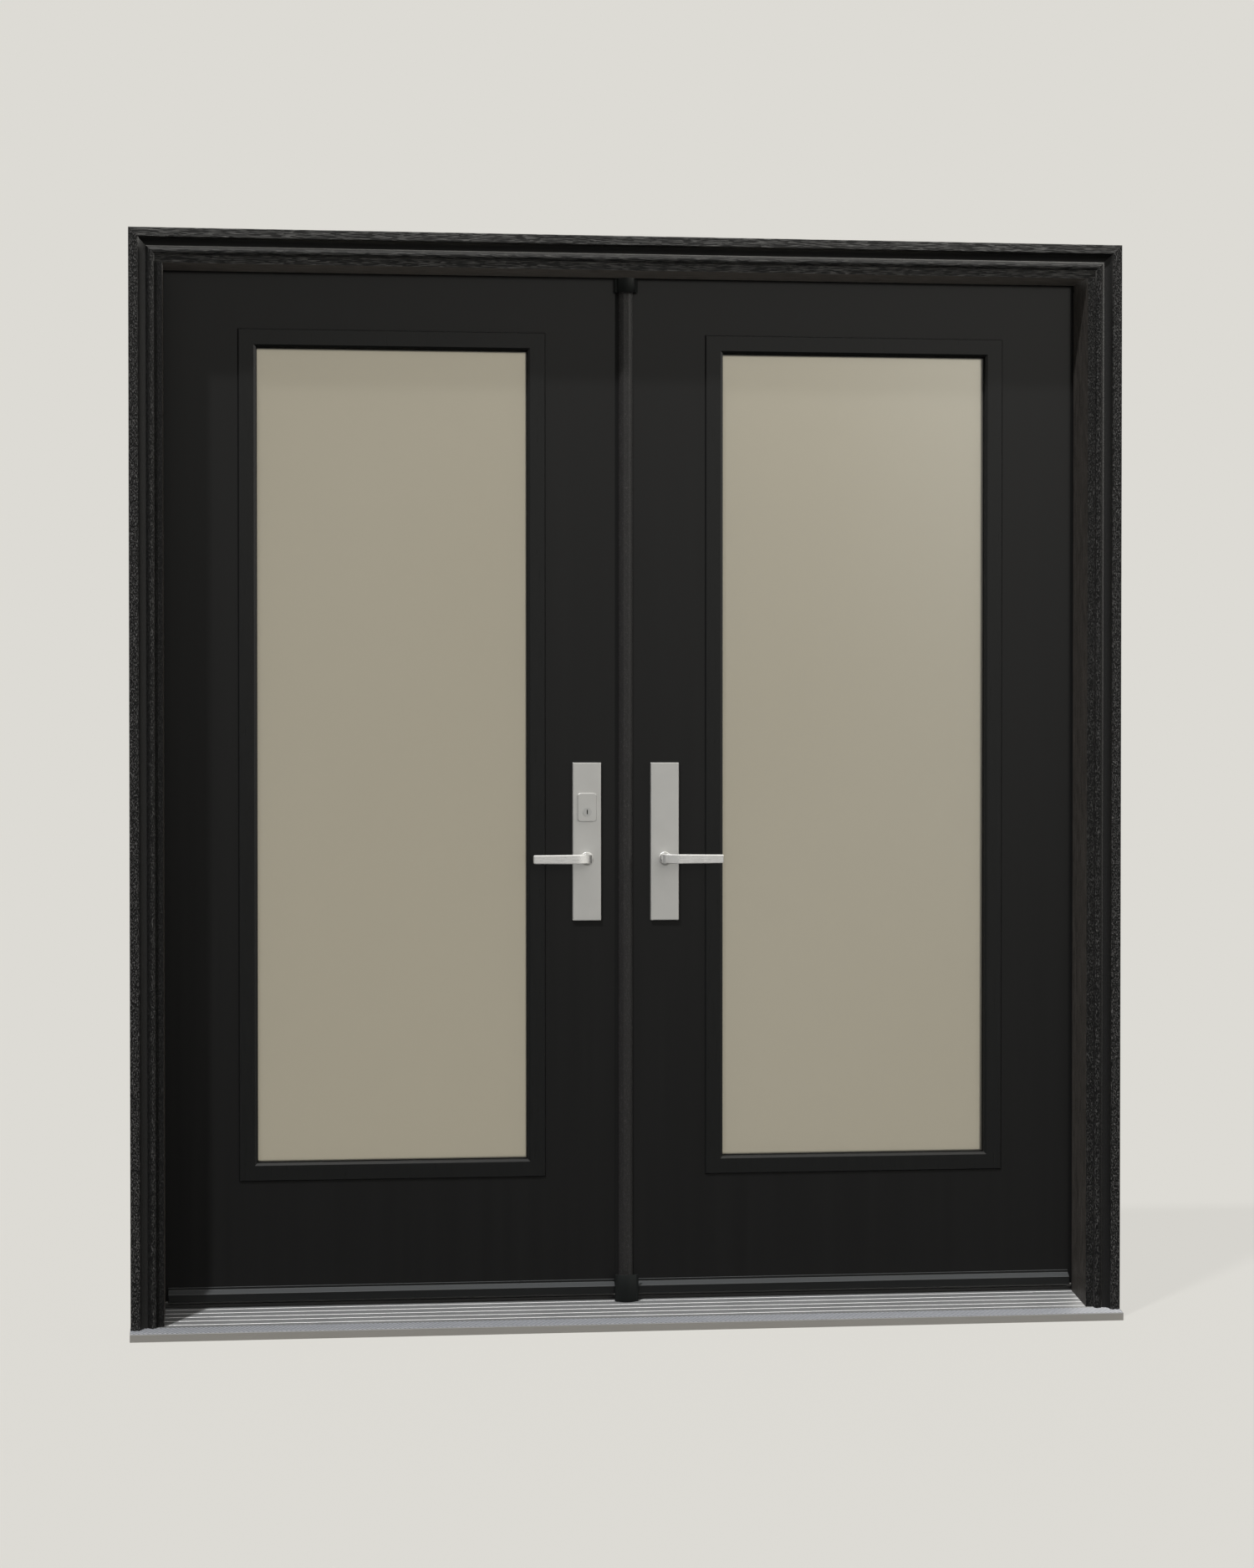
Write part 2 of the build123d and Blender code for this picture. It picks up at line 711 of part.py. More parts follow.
# Thumbturn on the inner face, opposite the keyed pad
with BuildPart() as thumbturn:
    turn_back = Plane.XZ.offset(-(slab_thickness + plate_thickness))
    with BuildSketch(turn_back):
        with Locations((-handle_centre_x, cylinder_z)):
            Circle(turn_base_radius)
    extrude(amount=-turn_base_height)
    with BuildSketch(turn_back.offset(-turn_base_height)):
        with Locations((-handle_centre_x, cylinder_z)):
            Circle(turn_post_radius)
    extrude(amount=-turn_post_height)
    with BuildSketch(turn_back.offset(-(turn_base_height + turn_post_height))):
        with Locations((-handle_centre_x, cylinder_z)):
            SlotOverall(turn_height, turn_width, rotation=90)
    extrude(amount=-turn_thickness)
save(thumbturn.part, "thumbturn")

# Levers: a flat tapered bar bent at its root into a round neck, which turns in the plate
with BuildPart() as right_lever_outside:
    root_y = -(plate_thickness + neck_length)
    front_y = -lever_projection
    back_y = front_y + lever_thickness
    root_x = handle_centre_x - lever_root
    tip_x = handle_centre_x + lever_reach
    with BuildSketch(Plane.XY.offset(spindle_z)):
        with BuildLine():
            outer_leg = Line((root_x, root_y), (root_x, front_y + lever_outer_bend))
            outer_bend = TangentArc(outer_leg @ 1, (root_x + lever_outer_bend, front_y), tangent=(0, -1))
            bar = Polyline(
                outer_bend @ 1, (tip_x, front_y), (tip_x, back_y),
                (handle_centre_x + lever_root + lever_inner_bend, back_y),
            )
            inner_bend = TangentArc(
                bar @ 1, (handle_centre_x + lever_root, back_y + lever_inner_bend), tangent=(-1, 0)
            )
            Polyline(inner_bend @ 1, (handle_centre_x + lever_root, root_y), outer_leg @ 0)
        make_face()
    extrude(amount=lever_root_height / 2, both=True)
    with BuildSketch(Plane.XZ) as lever_front:
        with BuildLine():
            Polyline(
                (root_x, spindle_z - lever_root_height / 2),
                (tip_x, spindle_z - lever_tip_height / 2),
                (tip_x, spindle_z + lever_tip_height / 2),
                (root_x, spindle_z + lever_root_height / 2),
                close=True,
            )
        make_face()
        fillet(lever_front.vertices().sort_by(Axis.X)[-2:], radius=lever_tip_radius)
    extrude(amount=lever_projection, mode=Mode.INTERSECT)
    front_face = right_lever_outside.faces().sort_by(Axis.Y)[0]
    bend_face = right_lever_outside.faces().filter_by(GeomType.CYLINDER).sort_by(Axis.X)[0]
    rims = front_face.edges().sort_by(Axis.X)[1:] + bend_face.edges().filter_by(Axis.Z, reverse=True)
    chamfer(rims, length=lever_arris)
    with BuildSketch(Plane.XZ.offset(-neck_inside)):
        with Locations((handle_centre_x, spindle_z)):
            Circle(neck_radius)
    extrude(amount=neck_inside - root_y)
save(right_lever_outside.part, "right_lever_outside")
right_lever_inside = save_mirrored(right_lever_outside.part, "right_lever_inside", mid_leaf)
save_mirrored(right_lever_outside.part, "left_lever_outside", Plane.YZ)
save_mirrored(right_lever_inside, "left_lever_inside", Plane.YZ)

with BuildPart() as right_spindle:
    with BuildSketch(Plane.XZ.offset(-neck_inside)):
        with Locations((handle_centre_x, spindle_z)):
            Rectangle(spindle_side, spindle_side)
    extrude(amount=-(slab_thickness - 2 * neck_inside))
save(right_spindle.part, "right_spindle")
save_mirrored(right_spindle.part, "left_spindle", Plane.YZ)
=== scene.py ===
"""Finishes, fastenings and studio for a double entrance door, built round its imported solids."""

import logging
import math
from dataclasses import dataclass
from enum import Enum
from functools import cache
from typing import Optional, Union

import bmesh
import bpy
from mathutils import Matrix, Vector


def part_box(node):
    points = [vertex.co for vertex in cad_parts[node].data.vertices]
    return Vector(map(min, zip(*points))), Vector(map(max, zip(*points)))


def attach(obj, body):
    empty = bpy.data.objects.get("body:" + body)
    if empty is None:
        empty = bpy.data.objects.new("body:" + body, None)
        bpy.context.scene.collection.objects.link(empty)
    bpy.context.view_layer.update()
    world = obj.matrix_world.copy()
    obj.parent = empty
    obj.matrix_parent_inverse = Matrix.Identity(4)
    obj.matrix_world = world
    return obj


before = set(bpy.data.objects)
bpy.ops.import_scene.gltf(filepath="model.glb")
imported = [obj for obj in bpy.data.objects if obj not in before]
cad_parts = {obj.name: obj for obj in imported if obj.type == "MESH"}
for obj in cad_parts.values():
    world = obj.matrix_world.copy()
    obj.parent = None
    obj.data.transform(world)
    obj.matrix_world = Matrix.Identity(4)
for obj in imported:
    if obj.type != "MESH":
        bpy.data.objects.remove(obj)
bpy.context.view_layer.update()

MM = 0.001
log = logging.getLogger("double_door")

Pair = tuple[float, float]
Triple = tuple[float, float, float]
Colour = Triple
Node = bpy.types.Node
Socket = bpy.types.NodeSocket
Sockets = dict[Union[int, str], object]
Number = Union["Value", float]

# How quickly the grain's drift changes, as shares of the number of cells along and across.
DRIFT_ALONG, DRIFT_ACROSS = 0.45, 0.12

# The Mix node's sockets when it mixes colours, which share their names with others.
MIX_FACTOR, MIX_FIRST, MIX_SECOND, MIX_RESULT = 0, 6, 7, 2


class Direction(Enum):
    """The way that grain or brushing runs on a member."""

    LEVEL = "x"
    UPRIGHT = "z"

    def laid(self, along: float, across: float) -> Triple:
        """A vector with one number along the member and the other across it."""
        return (along, across, across) if self is Direction.LEVEL else (across, across, along)


class Side(Enum):
    """The two leaves, named as seen from outside."""

    LEFT = "left"
    RIGHT = "right"

    @property
    def sign(self) -> int:
        """Minus one on the left, plus one on the right."""
        return -1 if self is Side.LEFT else 1


# Shader graphs


@dataclass(frozen=True)
class Value:
    """A number output that can be used in Python sums, each of which adds a Math node."""

    graph: "Graph"
    socket: Socket

    def maths(self, operation: str, *numbers: Number) -> "Value":
        """Adds one Math node, whose inputs take the numbers in order."""
        sockets = dict(enumerate(numbers))
        return self.graph.value("ShaderNodeMath", {"operation": operation}, sockets)

    def __add__(self, other: Number) -> "Value":
        """self + other."""
        return self.maths("ADD", self, other)

    def __sub__(self, other: Number) -> "Value":
        """self - other."""
        return self.maths("SUBTRACT", self, other)

    def __rsub__(self, other: float) -> "Value":
        """other - self."""
        return self.maths("SUBTRACT", other, self)

    def __mul__(self, other: Number) -> "Value":
        """self * other."""
        return self.maths("MULTIPLY", self, other)

    # Sums and products are the same from either side.
    __radd__ = __add__
    __rmul__ = __mul__

    def absolute(self) -> "Value":
        """The number without its sign."""
        return self.maths("ABSOLUTE", self)

    def greatest(self, other: "Value") -> "Value":
        """The greater of two numbers."""
        return self.maths("MAXIMUM", self, other)

    def between(self, low: float, high: float) -> "Value":
        """A smooth step from 0 at low to 1 at high, which may be the smaller of the two."""
        return self.graph.value(
            "ShaderNodeMapRange",
            {"interpolation_type": "SMOOTHSTEP"},
            {"Value": self, "From Min": low, "From Max": high, "To Min": 0.0, "To Max": 1.0},
        )


class Graph:
    """A node tree that is filled by Python expressions."""

    def __init__(self, tree: bpy.types.NodeTree) -> None:
        """Empties the node tree of a material or of the world."""
        self.tree = tree
        tree.nodes.clear()

    def feed(self, node: Node, sockets: Sockets) -> None:
        """Fills inputs of a node.

        Args:
            node: the node.
            sockets: numbers, colours or links for its inputs, by name or by place.
        """
        for name, given in sockets.items():
            taker, giver = node.inputs[name], given.socket if isinstance(given, Value) else given
            if isinstance(giver, Socket):
                self.tree.links.new(giver, taker)
            else:
                taker.default_value = (*giver, 1.0) if taker.type == "RGBA" else giver

    def node(
        self, kind: str, settings: Optional[dict] = None, sockets: Optional[Sockets] = None
    ) -> Node:
        """Adds any node.

        Args:
            kind: the node's type.
            settings: its properties, which are set first.
            sockets: what its inputs are fed with.

        Returns:
            The new node.
        """
        made = self.tree.nodes.new(kind)
        for name, setting in (settings or {}).items():
            setattr(made, name, setting)
        self.feed(made, sockets or {})
        return made

    def value(self, *given: object, output: Union[int, str] = 0, **named: object) -> Value:
        """Adds a node, with the same arguments as node(), and gives one of its outputs."""
        return Value(self, self.node(*given, **named).outputs[output])

    def place(self) -> Socket:
        """The point on the piece, in metres in the frame's own axes."""
        return self.node("ShaderNodeTexCoord").outputs["Object"]

    def axis(self, name: str, point: Optional[Socket] = None) -> Value:
        """One coordinate, X, Y or Z, of a vector or else of the point on the piece."""
        given = self.place() if point is None else point
        return self.value("ShaderNodeSeparateXYZ", sockets={0: given}, output=name)

    def facing(self, name: str) -> Value:
        """One coordinate, X, Y or Z, of the direction that the surface looks in."""
        return self.axis(name, self.node("ShaderNodeNewGeometry").outputs["Normal"])

    def vector(self, operation: str, first: Socket, second: Union[Socket, Triple]) -> Socket:
        """Adds a Vector Math node, and gives its vector."""
        sockets = {0: first, 1: second}
        return self.node("ShaderNodeVectorMath", {"operation": operation}, sockets).outputs[0]

    def noise(
        self, point: Socket, scale: float = 1.0, detail: float = 2.0, rough: float = 0.5
    ) -> Value:
        """A noise between about 0.2 and 0.8, of so many cells per metre and octaves above them."""
        return self.value(
            "ShaderNodeTexNoise",
            sockets={"Vector": point, "Scale": scale, "Detail": detail, "Roughness": rough},
        )

    def stretched(
        self, direction: Direction, length: float, width: float, wander: float = 0.0
    ) -> Socket:
        """A point whose cells are long along one direction, for grain and brushing.

        Args:
            direction: the way that the cells run.
            length: the length of a cell in metres.
            width: the width of a cell in metres.
            wander: how many widths the lines drift from side to side.

        Returns:
            The stretched point.
        """
        cells = self.vector("MULTIPLY", self.place(), direction.laid(1 / length, 1 / width))
        if not wander:
            return cells
        slow = self.vector("MULTIPLY", cells, direction.laid(DRIFT_ALONG, DRIFT_ACROSS))
        sockets = {"Vector": slow, "Scale": 1.0, "Detail": 1.0}
        drift = self.node("ShaderNodeTexNoise", sockets=sockets).outputs["Color"]
        centred = self.vector("SUBTRACT", drift, (0.5, 0.5, 0.5))
        return self.vector("ADD", cells, self.vector("MULTIPLY", centred, (wander,) * 3))

    def mixed(
        self, factor: Value, first: Union[Colour, Socket], second: Union[Colour, Socket]
    ) -> Socket:
        """Mixes two colours or colour outputs, of which 0 gives the first and 1 the second."""
        sockets = {MIX_FACTOR: factor, MIX_FIRST: first, MIX_SECOND: second}
        return self.node("ShaderNodeMix", {"data_type": "RGBA"}, sockets).outputs[MIX_RESULT]

    def mottled(self, pattern: Value, colour: Colour, shades: Pair) -> Socket:
        """Moves a colour between two shares of itself, the first of them where a pattern is 0."""
        dark, light = (tuple(min(1.0, part * shade) for part in colour) for shade in shades)
        return self.mixed(pattern, dark, light)

    def blend(self, factor: Value, first: Node, second: Node) -> Node:
        """Mixes two shaders, of which 0 gives the first and 1 the second."""
        sockets = {0: factor, 1: first.outputs[0], 2: second.outputs[0]}
        return self.node("ShaderNodeMixShader", sockets=sockets)


# Finishes


@dataclass(frozen=True)
class Finish:
    """What every finish has: a name, the record's slot, and the constants of its shader.

    The sheen is the swing of the roughness along the finish's pattern, the relief is the depth of
    that pattern in metres, and the shades are the shares of the colour that it moves between.
    Specks, clouds, peel and the like are cells per metre.
    """

    name: str
    slot: str
    colour: Colour
    roughness: float
    metallic: float = 0.0
    specular: float = 0.5
    transmission: float = 0.0
    sheen: float = 0.08
    relief: float = 0.02 * MM
    shades: Pair = (1.0, 1.0)
    specks: float = 900.0

    @cache
    def material(self) -> bpy.types.Material:
        """Builds the material the first time that it is asked for.

        Returns:
            The Blender material.
        """
        made = bpy.data.materials.new(self.name)
        made.use_nodes = True
        graph = Graph(made.node_tree)
        shader = graph.node(
            "ShaderNodeBsdfPrincipled",
            sockets={
                "Base Color": self.colour,
                "Roughness": self.roughness,
                "Metallic": self.metallic,
                "Specular IOR Level": self.specular,
                "Transmission Weight": self.transmission,
            },
        )
        graph.feed(shader, self.detail(graph))
        graph.node("ShaderNodeOutputMaterial", sockets={"Surface": shader.outputs[0]})
        made.diffuse_color = (*self.colour, 1.0)
        return made

    def detail(self, graph: Graph) -> Sockets:
        """What varies over the surface: here a very fine unevenness of sheen.

        Args:
            graph: the material's graph.

        Returns:
            What the shader's inputs are fed with.
        """
        speck = graph.noise(graph.place(), self.specks)
        return {"Roughness": self.rough(speck), "Normal": self.raised(graph, speck)}

    def rough(self, pattern: Value) -> Value:
        """The roughness, which swings about its constant with a pattern from 0 to 1."""
        return self.roughness - self.sheen / 2 + pattern * self.sheen

    def raised(self, graph: Graph, height: Value) -> Socket:
        """The direction of a surface that rises by the relief where a pattern is high."""
        sockets = {"Strength": 1.0, "Distance": self.relief, "Height": height}
        return graph.node("ShaderNodeBump", sockets=sockets).outputs["Normal"]


@dataclass(frozen=True)
class GrainedPaint(Finish):
    """Black paint on a skin embossed with wood grain, paler along its crests from wear and a
    painted highlight.
    """

    sheen: float = -0.2
    relief: float = 0.4 * MM
    direction: Direction = Direction.UPRIGHT
    grain_length: float = 3.6 * MM
    grain_width: float = 1.4 * MM
    wander: float = 1.6
    ridge_share: float = 0.4
    line_edges: Pair = (0.3, 0.7)
    wear_and_glint: Colour = (0.062, 0.06, 0.058)
    wear_and_glint_above: float = 0.52
    wear_and_glint_edge: float = 0.1
    ridge_wear_and_glint: float = 0.6
    ridge_edges: Pair = (0.35, 0.65)
    shaded_below: float = 0.15
    lit_facing: Pair = (-0.5, 0.7)
    shaded_left: float = 1.0
    middle: Pair = (-0.2, 0.2)

    def grain(self, graph: Graph) -> tuple[Value, Value]:
        """Works out the embossed grain, long wandering ridges with finer lines on them.

        Args:
            graph: the material's graph.

        Returns:
            The height of the relief, and a mask of the crests where the paint is paler from wear
            and a painted highlight, which painted shade makes weaker on faces that look down and
            may make weaker on the left of the door.
        """
        cells = graph.stretched(self.direction, self.grain_length, self.grain_width, self.wander)
        ridges = graph.noise(cells, scale=0.4, rough=0.45)
        lines = graph.noise(cells, detail=1.0)
        fine = lines.between(*self.line_edges)
        height = ridges * self.ridge_share + fine * (1 - self.ridge_share)
        # Painted shade: the paler crests fade on faces that look down, away from the light above.
        lit = self.shaded_below + graph.facing("Z").between(*self.lit_facing) * (1 - self.shaded_below)
        strength = lit * (self.ridge_wear_and_glint + ridges.between(*self.ridge_edges) * self.ridge_wear_and_glint)
        # Painted shade: the paler crests may be weaker on the left of the door, in the brickmould's
        # shadow.
        side = self.shaded_left + graph.axis("X").between(*self.middle) * (1 - self.shaded_left)
        # The paler crests are wear and a painted highlight along the grain.
        crests = lines.between(self.wear_and_glint_above, self.wear_and_glint_above + self.wear_and_glint_edge)
        return height, crests * strength * side

    def detail(self, graph: Graph) -> Sockets:
        """Grain all over."""
        height, crests = self.grain(graph)
        return {
            "Base Color": graph.mixed(crests, self.colour, self.wear_and_glint),
            "Roughness": self.rough(height),
            "Normal": self.raised(graph, height),
        }


@dataclass(frozen=True)
class MouldingPaint(GrainedPaint):
    """Grained on the flat band and on the bead of the brickmould, smooth in the cove between them,
    which is darkened with painted shade.

    Places across the section are measured from the lip beside the jamb. The wear and painted
    highlight of the bead go from the least to the most, which is reached on its crown.
    """

    lip: float = 917 * MM
    crown: Pair = (11 * MM, 5 * MM)
    bead_wear_and_glint: Pair = (0.18, 0.72)
    band: Pair = (15 * MM, 29.5 * MM)
    cove_in: Pair = (15 * MM, 17 * MM)
    cove_out: Pair = (30 * MM, 29 * MM)
    cove_shade_colour: Colour = (0.003, 0.003, 0.003)
    cove_wear_and_glint: float = 0.05
    cove_flatness: float = 0.75
    cove_roughness: float = 0.2
    cove_coat: float = 0.3
    coat_roughness: float = 0.5

    def detail(self, graph: Graph) -> Sockets:
        """Grain that fades out across the section between the two edges of the cove, whose colour
        is painted shade.
        """
        height, crests = self.grain(graph)
        across = graph.axis("Z" if self.direction is Direction.LEVEL else "X").absolute() - self.lip
        cove = across.between(*self.cove_in) * across.between(*self.cove_out)
        band = across.between(*self.band)
        # The bead's paler crests are wear and a painted highlight, strongest on its crown.
        least, most = self.bead_wear_and_glint
        bead = least + across.between(*self.crown) * (most - least)
        grained = graph.mixed(crests * (bead * (1 - band) + band), self.colour, self.wear_and_glint)
        # Painted shade: the cove takes its own dark colour and only a trace of the paler crests.
        shaded_hollow = graph.mixed(crests * self.cove_wear_and_glint, self.cove_shade_colour, self.wear_and_glint)
        return {
            "Base Color": graph.mixed(cove, grained, shaded_hollow),
            "Roughness": self.rough(height) + cove * self.cove_roughness,
            "Coat Weight": cove * self.cove_coat,
            "Coat Roughness": self.coat_roughness,
            "Normal": self.raised(graph, height * (1 - cove * self.cove_flatness)),
        }


@dataclass(frozen=True)
class JambPaint(GrainedPaint):
    """Grained in front, plainer and browner on the faces that look across the doorway."""

    front: Pair = (-121.7 * MM, -121.4 * MM)
    inner: Colour = (0.031, 0.028, 0.0255)
    inner_shades: Pair = (0.6, 1.7)
    inner_flatness: float = 0.8
    inner_roughness: float = 0.08
    fibre_length: float = 30 * MM
    fibre_width: float = 1.7 * MM

    def detail(self, graph: Graph) -> Sockets:
        """Strong grain where Y is at the front edge, and faint fine fibres behind it."""
        height, crests = self.grain(graph)
        behind = graph.axis("Y").between(*self.front)
        run = graph.stretched(self.direction, self.fibre_length, self.fibre_width, wander=1.0)
        fibres = graph.noise(run).between(*self.line_edges)
        back = graph.mottled(fibres, self.inner, self.inner_shades)
        front = graph.mixed(crests, self.colour, self.wear_and_glint)
        return {
            "Base Color": graph.mixed(behind, front, back),
            "Roughness": self.rough(height) + behind * self.inner_roughness,
            "Normal": self.raised(graph, height * (1 - behind * self.inner_flatness)),
        }


@dataclass(frozen=True)
class SlabPaint(Finish):
    """Satin black on the flat skins of a leaf, with faint upright streaks."""

    sheen: float = 0.1
    relief: float = 0.03 * MM
    shades: Pair = (0.85, 1.25)
    streak: float = 0.16
    streak_length: float = 0.9
    streak_width: float = 0.022
    clouds: float = 2.2
    peel: float = 420.0

    def detail(self, graph: Graph) -> Sockets:
        """Streaks and slow clouds in the colour, and orange peel in the surface."""
        run = graph.stretched(Direction.UPRIGHT, self.streak_length, self.streak_width)
        streaks = graph.noise(run, detail=3.0, rough=0.6)
        clouds = graph.noise(graph.place(), self.clouds)
        tone = 0.5 - self.streak + (streaks + clouds) * self.streak
        return {
            "Base Color": graph.mottled(tone, self.colour, self.shades),
            "Roughness": self.rough(streaks),
            "Normal": self.raised(graph, graph.noise(graph.place(), self.peel)),
        }


@dataclass(frozen=True)
class MouldedTrim(Finish):
    """Moulded black plastic, dull and darkened with painted shade on faces that look sideways, and
    paler on faces that look up from a dusting and a painted sheen.
    """

    sheen: float = 0.12
    relief: float = 0.08 * MM
    shades: Pair = (1.0, 1.35)
    direction: Direction = Direction.UPRIGHT
    line_length: float = 50 * MM
    line_width: float = 1.6 * MM
    side_shade: float = 1.0
    side_shade_facing: Pair = (0.6, 0.3)
    side_shade_colour: Colour = (0.001, 0.001, 0.001)
    edge_roughness: float = 0.6
    dust_and_sheen: float = 0.0
    dust_and_sheen_facing: Pair = (0.2, 0.5)
    dust_and_sheen_colour: Colour = (0.042, 0.0445, 0.046)

    def detail(self, graph: Graph) -> Sockets:
        """A shallow stretched grain, painted shade on what looks sideways, and a dusting with a
        painted sheen on what looks up.
        """
        run = graph.stretched(self.direction, self.line_length, self.line_width, wander=1.0)
        lines = graph.noise(run, detail=3.0, rough=0.55)
        # Painted shade: faces that look sideways, such as the lip beside the glass, are darkened
        # and dulled.
        edge = graph.facing("Y").absolute().between(*self.side_shade_facing) * self.side_shade
        # Faces that look up are paler from a dusting and a painted sheen.
        sheen_and_dust = graph.facing("Z").between(*self.dust_and_sheen_facing) * self.dust_and_sheen
        face = graph.mottled(lines, self.colour, self.shades)
        face_with_sheen = graph.mixed(sheen_and_dust, face, self.dust_and_sheen_colour)
        return {
            "Base Color": graph.mixed(edge, face_with_sheen, self.side_shade_colour),
            "Roughness": self.rough(lines) + edge * self.edge_roughness,
            "Normal": self.raised(graph, lines),
        }


@dataclass(frozen=True)
class Nickel(Finish):
    """Satin metal with a very fine brushing."""

    relief: float = 0.012 * MM
    shades: Pair = (0.94, 1.06)
    direction: Direction = Direction.UPRIGHT
    brush_length: float = 30 * MM
    brush_width: float = 0.25 * MM
    clouds: float = 24.0

    def detail(self, graph: Graph) -> Sockets:
        """Short brush lines in the sheen and the surface, and slow clouds in the colour."""
        brush = graph.noise(graph.stretched(self.direction, self.brush_length, self.brush_width))
        clouds = graph.noise(graph.place(), self.clouds)
        return {
            "Base Color": graph.mottled(clouds, self.colour, self.shades),
            "Roughness": self.rough(brush),
            "Normal": self.raised(graph, brush),
        }


@dataclass(frozen=True)
class SillSection:
    """The slope of the sill and the strip of its tread, in millimetres."""

    nose_y: float = -166.2
    nose_z: float = 15.0
    top_y: float = -3.0
    top_z: float = 35.0
    tread: Pair = (-163.5, -129.0)

    @property
    def rise(self) -> float:
        """How much higher the slope is for each millimetre of depth."""
        return (self.top_z - self.nose_z) / (self.top_y - self.nose_y)

    def height(self, y: float) -> float:
        """The height of the slope at a depth."""
        return self.nose_z + self.rise * (y - self.nose_y)


SILL = SillSection()


@dataclass(frozen=True)
class RibbedAluminium(Finish):
    """Mill aluminium of the sill, with painted highlights in its grooves."""

    shades: Pair = (0.86, 1.0)
    groove: Pair = (-0.15 * MM, -0.45 * MM)
    slope_front: Pair = (-165.5 * MM, -164.5 * MM)
    slope_back: Pair = (-3 * MM, -4 * MM)
    nose_below: Pair = (-0.6 * MM, -1.6 * MM)
    tread_edge: float = 0.5 * MM
    groove_highlight: Colour = (0.93, 0.93, 0.92)
    nose: Colour = (0.23, 0.222, 0.205)
    grime_and_shade: Colour = (0.13, 0.135, 0.145)
    drawn_length: float = 0.4
    drawn_width: float = 0.9 * MM
    scuffs: float = 9.0
    scuff_edges: Pair = (0.35, 0.75)

    def detail(self, graph: Graph) -> Sockets:
        """Drawn lines along the sill, dull scuffs, grime and painted shade under the tread, and
        painted highlights in the grooves.
        """
        depth = graph.axis("Y")
        above = graph.axis("Z") - depth * SILL.rise - SILL.height(0.0) * MM
        slope = depth.between(*self.slope_front) * depth.between(*self.slope_back)
        # Painted highlight: the groove walls are painted near white and made less metallic.
        groove_glint = above.between(*self.groove) * slope
        front, back = (edge * MM for edge in SILL.tread)
        # Grime and painted shade in the strip under the tread ribs.
        tread = depth.between(front - self.tread_edge, front) * depth.between(
            back + self.tread_edge, back
        )
        face = above.between(*self.nose_below) * (1 - slope)
        run = graph.stretched(Direction.LEVEL, self.drawn_length, self.drawn_width)
        drawn = graph.noise(run, detail=3.0, rough=0.6)
        marks = graph.noise(graph.place(), self.scuffs, detail=4.0, rough=0.6)
        scuffs = marks.between(*self.scuff_edges)
        plain = graph.mottled(drawn * 0.5 + scuffs * 0.5, self.colour, self.shades)
        worked = graph.mixed(tread, graph.mixed(face, plain, self.nose), self.grime_and_shade)
        return {
            "Base Color": graph.mixed(groove_glint, worked, self.groove_highlight),
            "Metallic": self.metallic * (1 - groove_glint),
            "Roughness": self.roughness + scuffs * self.sheen,
            "Normal": self.raised(graph, drawn),
        }


@dataclass(frozen=True)
class FrostedGlass(Finish):
    """Etched glass that scatters a warm even tone, with a dark sealer and painted shade along the
    sight edge.

    The tone is a little lighter on the right leaf, and lighter again up to the right, which is
    painted light.
    """

    sheen: float = 0.06
    relief: float = 0.01 * MM
    lighter: Colour = (0.52, 0.50, 0.44)
    patches: float = 1.3
    patch_gain: float = 0.3
    corner_rise: Pair = (0.4, 2.0)
    corner_right: Pair = (0.35, 0.75)
    corner_light_gain: float = 0.4
    right: Pair = (-0.1, 0.2)
    right_light_gain: float = 0.13
    sealant_and_shade: Colour = (0.004, 0.004, 0.004)
    sealant_and_shade_width: float = 2.0 * MM
    sealant_and_shade_edge: Pair = (-0.1 * MM, 0.1 * MM)
    rim_width: float = 35.5 * MM
    tooth: float = 1600.0

    def detail(self, graph: Graph) -> Sockets:
        """Large soft patches of tone with painted light, the dark sealer with painted shade, and
        the fine tooth of the etched face.
        """
        x, z = graph.axis("X"), graph.axis("Z")
        patches = graph.noise(graph.place(), self.patches, detail=1.0)
        # Painted light: lighter up to the right and on the right leaf.
        corner = z.between(*self.corner_rise) * x.between(*self.corner_right) * self.corner_light_gain
        tone = (patches - 0.5) * self.patch_gain + corner + x.between(*self.right) * self.right_light_gain
        low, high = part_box("right_lite_frame_outside")
        middle, half = (low + high) / 2, (high - low) / 2
        edge = self.rim_width + self.sealant_and_shade_width
        past_x = (x.absolute() - middle.x).absolute() - (half.x - edge)
        past_z = (z - middle.z).absolute() - (half.z - edge)
        # A dark sealer and painted shade in a band along the sight edge.
        seal_and_shade = past_x.greatest(past_z).between(*self.sealant_and_shade_edge)
        glass = graph.mixed(tone, self.colour, self.lighter)
        tooth = graph.noise(graph.place(), self.tooth, detail=1.0)
        return {
            "Base Color": graph.mixed(seal_and_shade, glass, self.sealant_and_shade),
            "Roughness": self.rough(tooth),
            "Normal": self.raised(graph, tooth),
        }


@dataclass(frozen=True)
class CompositeCore(Finish):
    """Pressed fibre under the sill's skin."""

    relief: float = 0.2 * MM
    shades: Pair = (0.7, 1.0)
    fibre_length: float = 20 * MM
    fibre_width: float = 1.5 * MM

    def detail(self, graph: Graph) -> Sockets:
        """Coarse fibres along the sill."""
        run = graph.stretched(Direction.LEVEL, self.fibre_length, self.fibre_width, wander=2.0)
        fibres = graph.noise(run, detail=4.0, rough=0.65)
        return {
            "Base Color": graph.mottled(fibres, self.colour, self.shades),
            "Normal": self.raised(graph, fibres),
        }


